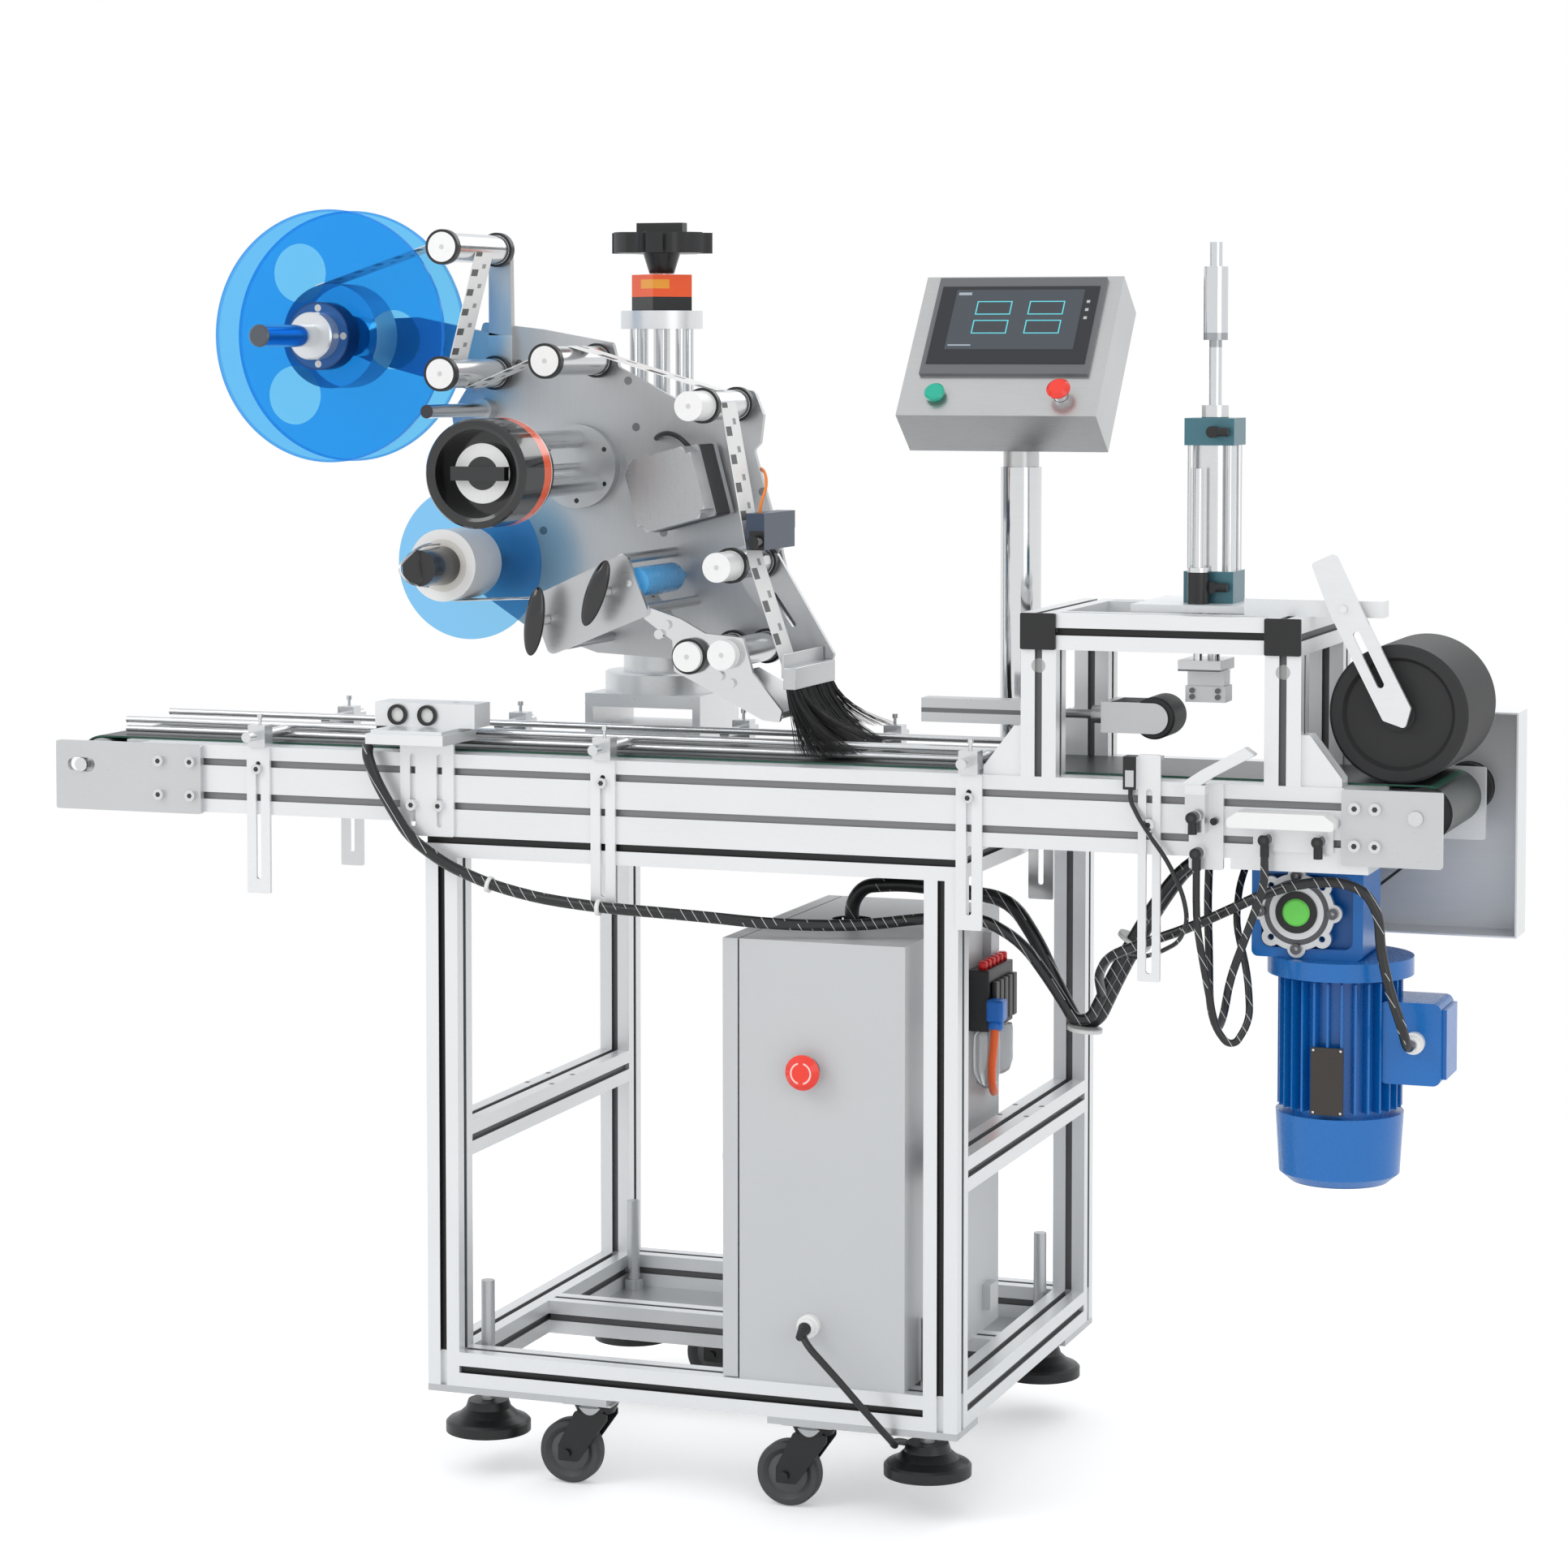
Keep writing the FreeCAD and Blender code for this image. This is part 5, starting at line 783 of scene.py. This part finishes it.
def headPlateFinish():
    look = metal("headPlate", "machined", 0.36, 0.75)
    look.zone(look.within(y=(None, 196)) * look.disc("xz", 60, head["tension"]), tints["chrome"], 0.16, 1.0)
    look.zone(look.within(y=(-23, -7)) * look.disc("xz", 62, head["tension"]), tints["black"], 0.3, 0.0)
    look.zone(look.within(y=(30, 190)) * look.disc("xz", 14, head["tensionPost"]), tints["chrome"], 0.18, 1.0)
    postEnd = look.within(y=(None, 35.4)) * look.disc("xz", 9, head["tensionPost"])
    look.zone(postEnd, (0.06, 0.06, 0.07), 0.3, 0.8)
    screws = look.disc("xz", 5, *head["screws"]) * look.within(y=head["plateFront"])
    look.zone(screws, (0.25, 0.25, 0.26), 0.3, 0.8)
    dress("head_plate", look.done((60, 60, 4), 10, 0.14, 0.05))


def peelFinish():
    peel = metal("peelUnit", "machined", 0.3, 0.75)
    peel.zone(peel.within(x=(365.5, 389), y=(60, 188.5), z=(1087, 1131)), (0.03, 0.05, 0.09), 0.35, 0.0)
    peel.zone(peel.within(y=(60, 84.5), x=(370, 390), z=(1088, 1110)), tints["black"], 0.3, 0.0)
    peel.zone(peel.within(y=(40.9, 46.05)), tints["chrome"], 0.15, 1.0)
    dress("peel_unit", peel.done((4, 4, 60), 12, 0.12, 0.05))
    dress("brush", plain("brushBlock", "rubber", 0.5).done())


def stepperFinish():
    stepper = metal("stepperMotor", "machined", 0.3, 0.7)
    stepper.zone(stepper.within(y=(144, 190)), tints["black"], 0.42, 0.1)
    cover = stepper.disc("xz", 52, (255, 1155)) * stepper.within(y=(None, 110.4))
    stepper.zone(cover, (0.45, 0.46, 0.47), 0.28, 0.8)
    dress("stepper_motor", stepper.done((30, 30, 3), 6, 0.10, 0.02))


def webFinish():
    web = plain("labelWeb", "white", 0.42)
    marks = ((web.axis("z") * 0.8 + web.axis("x") * 0.6) * 0.045).fraction()
    web.zone((marks < 0.34) * web.near("y", 9, 104), (0.10, 0.10, 0.10), 0.5)
    web.zone((marks > 0.40) * (marks < 0.62) * web.near("y", 5, 126), (0.30, 0.30, 0.30), 0.5)
    dress("label_web", web.done((1, 1, 1), 200, 0.06, 0.02))


# Guide rollers: white plastic up to the first ring, or the whole front on the long ones
roller = {"count": 7, "long": (4, 5), "shortFront": 45, "longFront": 80}


def guideRollerFinish():
    for index in range(1, roller["count"] + 1):
        name = "guide_roller_%d" % index
        middle = boxCentre(name)
        look = metal(name + "Finish", "chrome", 0.2, 0.9)
        front = roller["longFront"] if index in roller["long"] else roller["shortFront"]
        look.zone(look.within(y=(None, front)), tints["white"], 0.32, 0.0)
        look.zone(1.0 - look.disc("xz", 17.3, middle), tints["black"], 0.35, 0.0)
        look.zone(look.disc("xz", 3, middle) * look.within(y=(None, 36)), (0.6, 0.6, 0.6), 0.3, 0.0)
        dress(name, look.done((1, 1, 1), 200, 0.08, 0.03))
    nip = plain("nipRoller", "paleReel", 0.28)
    nip.zone(nip.within(y=(None, 55.5)), tints["chrome"], 0.2, 0.9)
    dress("nip_roller", nip.done((1, 1, 1), 90, 0.06, 0.02))


def wingKnobFinish():
    for name in ("wing_knob_1", "wing_knob_2"):
        wing = plain(name + "Finish", "black", 0.14, Coat_Weight=0.5)
        wing.zone(wing.within(y=(14, None)), tints["chrome"], 0.2, 0.9)
        dress(name, wing.done((1, 1, 1), 200, 0.1, 0.02, 0.03))


# Upper reel: clear blue discs on a solid hub, with a roll between them
upper = {"x": -164, "z": 1333, "holeTurns": (-3, 117, 237), "holeReach": 84, "hole": 35.5,
         "roll": 62.5, "hub": 40.5, "cone": 28.6, "screwReach": 33, "spindle": 13.3, "edge": 147.2}


def upperReelFinish():
    reel = Finish("upperReel", tints["reel"], 0.10, Coat_Weight=0.3)
    x, z, reach = upper["x"], upper["z"], upper["holeReach"]
    turns = [math.radians(degrees) for degrees in upper["holeTurns"]]
    places = [(x + reach * math.cos(turn), z + reach * math.sin(turn)) for turn in turns]
    holes = reel.disc("xz", upper["hole"], *places)
    roll = reel.within(y=(92.05, 146.9)) * reel.disc("xz", upper["roll"], (x, z))
    # painted shade: the white roll is coloured dark blue where it lies in shade behind the blue disc, and
    # stays white where the holes show it
    reel.zone(roll, (0.10, 0.30, 0.52), 0.5)
    reel.zone(roll * holes * reel.within(y=(None, 92.4)), tints["white"], 0.5)
    hub = reel.disc("xz", upper["hub"], (x, z)) * reel.within(y=(59, 87.95))
    reel.zone(hub, (0.004, 0.085, 0.30), 0.2, 0.4)
    rim = hub * (1.0 - reel.disc("xz", upper["hub"] - 2, (x, z)))
    reel.zone(rim, (0.003, 0.030, 0.12), 0.3, 0.4)
    cone = reel.disc("xz", upper["cone"], (x, z)) * reel.within(y=(36, 59.9))
    reel.zone(cone, (0.70, 0.72, 0.74), 0.28, 0.8)
    ring = upper["screwReach"]
    screws = reel.disc("xz", 4.2, (x + ring, z), (x - ring, z), (x, z + ring), (x, z - ring))
    reel.zone(screws * reel.within(y=(58, 60.4)), (0.55, 0.56, 0.57), 0.25, 0.9)
    spindle = reel.disc("xz", upper["spindle"], (x, z)) * reel.within(y=(None, 38.5))
    reel.zone(spindle, (0.006, 0.20, 0.62), 0.2, 0.75)
    reel.zone(spindle * reel.within(y=(None, -89)), (0.10, 0.11, 0.13), 0.35, 0.9)
    reel.zone(spindle * reel.within(y=(8, None)), (0.72, 0.73, 0.74), 0.2, 0.95)
    stub = reel.within(y=(151.05, None))
    reel.zone(stub, tints["chrome"], 0.2, 0.9)
    solid = roll | hub | cone | spindle | stub
    edge = (1.0 - reel.disc("xz", upper["edge"], (x, z))) * 0.25
    front = reel.within(y=(None, 92.05))
    reel.done((1, 1, 1), 30, 0.06, 0.01, 0.03)
    reel.clear(solid | (edge + front * 0.05 + 0.10), (0.44, 0.80, 0.97))
    dress("upper_reel", reel)


# Rewind reel: a clear blue disc behind a white core on a black mandrel
lower = {"centre": (-9, 1064), "core": 42.8, "coreHole": 31, "mandrel": 24, "discFront": 69.9}


def rewindReelFinish():
    rewind = Finish("rewindReel", tints["reel"], 0.12, Coat_Weight=0.3)
    core = rewind.disc("xz", lower["core"], lower["centre"]) * rewind.within(y=(None, 145.95))
    rewind.zone(core, tints["white"], 0.45)
    coreEnd = core * rewind.within(y=(None, 70.5)) * rewind.disc("xz", lower["coreHole"], lower["centre"])
    rewind.zone(coreEnd, (0.70, 0.68, 0.63), 0.5)
    front = rewind.within(y=(None, lower["discFront"]))
    rewind.zone(rewind.disc("xz", lower["mandrel"], lower["centre"]) * front, tints["black"], 0.22)
    back = rewind.within(y=(150.1, None))
    rewind.zone(back, tints["chrome"], 0.2, 0.9)
    rewind.done((1, 1, 1), 60, 0.08, 0.02, 0.03)
    rewind.clear(core | back | (front | 0.12), (0.55, 0.82, 0.97))
    dress("rewind_reel", rewind)


def tensionWheelFinish():
    wheel = plain("tensionWheel", "black", 0.13, Coat_Weight=0.5)
    middle = head["tension"]
    ring = wheel.disc("xz", 34.5, middle) * (1.0 - wheel.disc("xz", 19, middle))
    wheel.zone(ring * wheel.within(y=(-79, -77.8)), tints["white"], 0.3)
    outside = 1.0 - wheel.disc("xz", 60, middle)
    wheel.zone(wheel.within(y=(-44, -24)) * outside, tints["orange"], 0.25)
    wheel.zone(wheel.within(y=(-24, None)) * outside, tints["white"], 0.3)
    dress("tension_wheel", wheel.done((1, 1, 1), 300, 0.12, 0.02, 0.03))


def cylinderFinish():
    both = metal("airCylinders", "chrome", 0.16, 0.9)
    heads = both.within(x=(860, 940)) * (both.within(z=(1038, 1073)) | both.within(z=(1212, 1243)))
    both.zone(heads, tints["teal"], 0.3, 0.3)
    both.zone(heads * both.within(y=(None, 101.8)), tints["black"], 0.3, 0.0)
    sideways = both.within(z=(None, 935))
    both.zone(sideways, tints["machined"], 0.3, 0.7)
    # painted shade in the groove of the sideways cylinder
    both.zone(both.near("z", 2.6, 911) * sideways * both.within(y=(None, 90.2)), tints["slot"], 0.5, 0.2)
    dress("air_cylinders", both.done((2, 2, 2), 160, 0.1, 0.04))
    rod = metal("liftRod", "chrome", 0.1, 1.0)
    rod.zone(rod.within(z=(None, 976)), tints["anodised"], 0.34, 0.3)
    rod.zone(rod.within(z=(926, 966), y=(None, 112.9)), (0.15, 0.15, 0.16), 0.3, 0.6)
    rod.zone(rod.within(z=(1320, 1336)), (0.40, 0.41, 0.42), 0.2, 1.0)
    dress("lift_rod", rod.done((2, 2, 2), 160, 0.08, 0.03))
    side = metal("sideRod", "machined", 0.24, 0.8)
    dress("side_rod", side.done((2, 2, 2), 160, 0.1, 0.04))


def feederRollerFinish():
    push = plain("pushRoller", "rubber", 0.5)
    push.zone(push.disc("xz", 15, (849, 911)), (0.45, 0.46, 0.47), 0.3, 0.8)
    dress("push_roller", push.done((1, 1, 1), 300, 0.2, 0.1))
    arm = metal("pressArm", "anodised", 0.32, 0.5)
    dress("press_arm", arm.done((3, 3, 30), 12, 0.1, 0.04))


# Gearbox: the output's middle and the rings of its front
gearbox = {"output": (1014, 706), "lobes": 51, "groove": (30, 36), "ring": 32, "bore": 23.1, "cap": 15.1}


def gearboxFinish():
    gear = plain("gearboxPaint", "motor", 0.3)

    def disc(radius):
        return gear.disc("xz", radius, gearbox["output"])

    inner, outer = gearbox["groove"]
    lobed = gear.within(y=(None, 63.9))
    gear.zone(lobed * disc(gearbox["lobes"]), (0.68, 0.69, 0.70), 0.34, 0.6)
    gear.zone(disc(outer) * (1.0 - disc(inner)) * gear.within(y=(None, 58.05)), (0.10, 0.10, 0.11), 0.4, 0.3)
    gear.zone(disc(gearbox["bore"]) * gear.within(y=(None, 57.95)), tints["black"], 0.35, 0.0)
    gear.zone(disc(gearbox["cap"]) * gear.within(y=(None, 57.9)), tints["lime"], 0.35, 0.0)
    bolts = (1.0 - disc(gearbox["ring"])) * gear.within(y=(None, 57.9))
    gear.zone(bolts, (0.12, 0.12, 0.13), 0.25, 0.9)
    gear.zone(gear.within(z=(757.9, None)), tints["anodised"], 0.34, 0.45)
    dress("gearbox", gear.done((1, 1, 1), 220, 0.08, 0.05))


def driveFinish():
    motor = plain("motorPaint", "motor", 0.28, Coat_Weight=0.2)
    motor.zone(motor.disc("xz", 12.4, (1141, 568)) * motor.within(y=(None, 74.9)), tints["white"], 0.3)
    motor.zone(motor.within(z=(404, 407)), (0.004, 0.10, 0.34), 0.4)  # seam of the fan's cover
    dress("drive_motor", motor.done((1, 1, 1), 160, 0.08, 0.04))
    dress("output_pulley", metal("outputPulley").done())
    band = plain("driveBelt", "rubber", 0.55)
    dress("drive_belt", band.done((1, 1, 1), 300, 0.2, 0.1))
    guard = metal("driveGuard", "anodised", 0.38, 0.35)
    dress("drive_guard", guard.done((2, 2, 30), 12, 0.08, 0.04))


def feetFinish():
    feet = metal("feetAndPlates", "machined", 0.32, 0.7)
    feet.zone(feet.within(z=(None, 82.4)), tints["black"], 0.34, 0.0)
    dress("feet_and_plates", feet.done((2, 2, 2), 160, 0.12, 0.05))


castor = {"cheek": 3.9, "disc": 23.5, "hub": 9.9}


def castorFinish():
    for corner in ("left_front", "right_front", "left_back", "right_back"):
        fork = plain("castorFork_" + corner, "black", 0.3)
        front, back = [edge[1] * 1000 + origin["y"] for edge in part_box("castor_fork_" + corner)]
        bolts = fork.within(y=(None, front + castor["cheek"])) | fork.within(y=(back - castor["cheek"], None))
        fork.zone(bolts, (0.62, 0.63, 0.64), 0.25, 0.8)
        dress("castor_fork_" + corner, fork.done((1, 1, 1), 300, 0.2, 0.06))
        wheel = Finish("castorWheel_" + corner, (0.055, 0.055, 0.057), 0.5)
        middle = boxCentre("castor_wheel_" + corner)
        wheel.zone(wheel.disc("xz", castor["disc"], middle), (0.09, 0.09, 0.092), 0.4)
        wheel.zone(wheel.disc("xz", castor["hub"], middle), (0.30, 0.30, 0.31), 0.4)
        dress("castor_wheel_" + corner, wheel.done((1, 1, 1), 300, 0.2, 0.1))


def wiringFinish():
    loom = plain("wiringLoom", "black", 0.34)
    wrap = (loom.axis("x") * 0.075 + loom.axis("z") * 0.05 + loom.axis("y") * 0.03).fraction()
    loom.zone((wrap < 0.07) * (loom.noise(25, 1) > 0.45), (0.55, 0.55, 0.55), 0.3)
    loom.set("Coat Weight", 0.2)
    dress("wiring", loom.done((1, 1, 1), 200, 0.2, 0.1))


def cordFinish():
    rubber = plain("cordRubber", "rubber", 0.45).done((1, 1, 1), 300, 0.2, 0.1)
    cordPiece.data.materials.append(rubber.material)
    reliefPiece.data.materials.append(rubber.material)
    plug = plain("plugBody", "black", 0.38)
    plug.zone(plug.within(x=(None, 190)), tints["chrome"], 0.2, 0.9)
    dress("power_plug", plug.done((1, 1, 1), 400, 0.2, 0.08))


def pieceFinish(piece, name, color, rough=0.35, metallic=0.0, **fixed):
    finish = Finish(name, color, rough, metallic, **fixed)
    piece.data.materials.append(finish.done((1, 1, 1), 300, 0.12, 0.05).material)


for makeFinish in (standFinish, towerFinish, railFinish, beltFinish, conveyorRollerFinish, guideFinish,
                   cabinetFinish, cabinetStopFinish, consoleFinish, screenFinish, columnFinish,
                   headPlateFinish, peelFinish, stepperFinish, webFinish, guideRollerFinish, wingKnobFinish,
                   upperReelFinish, rewindReelFinish, tensionWheelFinish, cylinderFinish,
                   feederRollerFinish, gearboxFinish, driveFinish, feetFinish, castorFinish, wiringFinish,
                   cordFinish):
    makeFinish()
pieceFinish(recessPiece, "recessShadow", (0.03, 0.03, 0.03), 0.5)
pieceFinish(strandPiece, "bristleFibre", (0.014, 0.014, 0.015), 0.42)
pieceFinish(jointPiece, "jointAluminium", tints["machined"], 0.36, 0.75)
pieceFinish(holderPiece, "holderAluminium", tints["machined"], 0.3, 0.8)
pieceFinish(platePiece, "plateBronze", (0.055, 0.048, 0.042), 0.35, 0.5)
pieceFinish(plateScrews, "plateScrewSteel", tints["chrome"], 0.25, 0.9)
pieceFinish(valvePiece, "valveBlack", (0.02, 0.02, 0.021), 0.4)
pieceFinish(bowlPiece, "clearBowl", (0.80, 0.82, 0.83), 0.08, Transmission_Weight=0.75)
pieceFinish(blueFittingPiece, "fittingBlue", (0.01, 0.16, 0.60), 0.3)
pieceFinish(redPortPiece, "portRed", (0.75, 0.02, 0.02), 0.3)
pieceFinish(orangeHose, "hoseOrange", (0.90, 0.13, 0.02), 0.35)
pieceFinish(stepperLead, "leadBlack", tints["black"], 0.4)
pieceFinish(sensorLead, "leadOrange", (0.85, 0.22, 0.02), 0.4)
pieceFinish(clipPiece, "clipWire", tints["chrome"], 0.12, 1.0)
pieceFinish(tiePiece, "tieNylon", (0.80, 0.80, 0.78), 0.4)
print("finishes made")


# Floor: near the machine it takes the shadow, and far from it it turns into plain white
ground = {"size": 30, "color": 0.90, "glow": 0.30, "nearFade": 1100, "farFade": 2400}


def makeFloor():
    mesh = bpy.data.meshes.new("floor")
    shape = bmesh.new()
    bmesh.ops.create_grid(shape, x_segments=1, y_segments=1, size=ground["size"])
    shape.to_mesh(mesh)
    shape.free()
    floor = link(bpy.data.objects.new("floor", mesh))
    look = Finish("floorFinish", (ground["color"],) * 3, 0.7)
    across = look.axis("x") - origin["x"]
    back = look.axis("y") - origin["y"]
    away = (across * across + back * back).root()
    fade = look.node("ShaderNodeMapRange", {"interpolation_type": "SMOOTHSTEP"}, {
        "Value": away, "From Min": ground["nearFade"], "From Max": ground["farFade"]})
    seen = look.node("ShaderNodeLightPath", out="Is Camera Ray")
    lift = look.node("ShaderNodeEmission", None, {1: seen * ground["glow"]})
    close = look.node("ShaderNodeAddShader", None, {0: look.surface, 1: lift})
    white = look.node("ShaderNodeEmission", None, {1: 1.0})
    look.show("Material Output", look.node("ShaderNodeMixShader", None, {0: fade, 1: close, 2: white}))
    floor.data.materials.append(look.material)


# World: plain white where it is seen, a little cooler as light
sky = {"light": (0.97, 0.985, 1, 1), "power": 0.95}


def makeWorld():
    world = bpy.data.worlds.new("studio")
    world.use_nodes = True
    bpy.context.scene.world = world
    studio = Graph(world.node_tree)
    rays = [studio.node("ShaderNodeLightPath", out=name) for name in ("Is Camera Ray", "Is Transmission Ray")]
    white = studio.node("ShaderNodeBackground", None, {0: (1, 1, 1, 1), 1: 1.0})
    lit = studio.node("ShaderNodeBackground", None, {0: sky["light"], 1: sky["power"]})
    both = studio.node("ShaderNodeMixShader", None, {0: anyOf(rays), 1: lit, 2: white})
    studio.show("World Output", both)


# Lamps, in metres from the frame's origin, all aimed at the machine's middle
lamps = {"key": {"size": 1.8, "place": (-2.2, -2.6, 3.0), "power": 32.0},
         "fill": {"size": 2.0, "place": (2.8, -2.2, 1.6), "power": 10.0},
         "rim": {"size": 2.0, "place": (0.6, 2.6, 2.8), "power": 16.0}}
aim = Vector((0, 0, 0.75))


def makeLamps():
    for name, lamp in lamps.items():
        data = bpy.data.lights.new(name, "AREA")
        data.size = lamp["size"]
        data.energy = lamp["power"]
        piece = link(bpy.data.objects.new(name, data))
        piece.location = lamp["place"]
        piece.rotation_euler = (aim - Vector(lamp["place"])).to_track_quat("-Z", "Y").to_euler()


makeFloor()
makeWorld()
makeLamps()
bpy.context.scene.view_settings.view_transform = "Standard"
print("stage set")
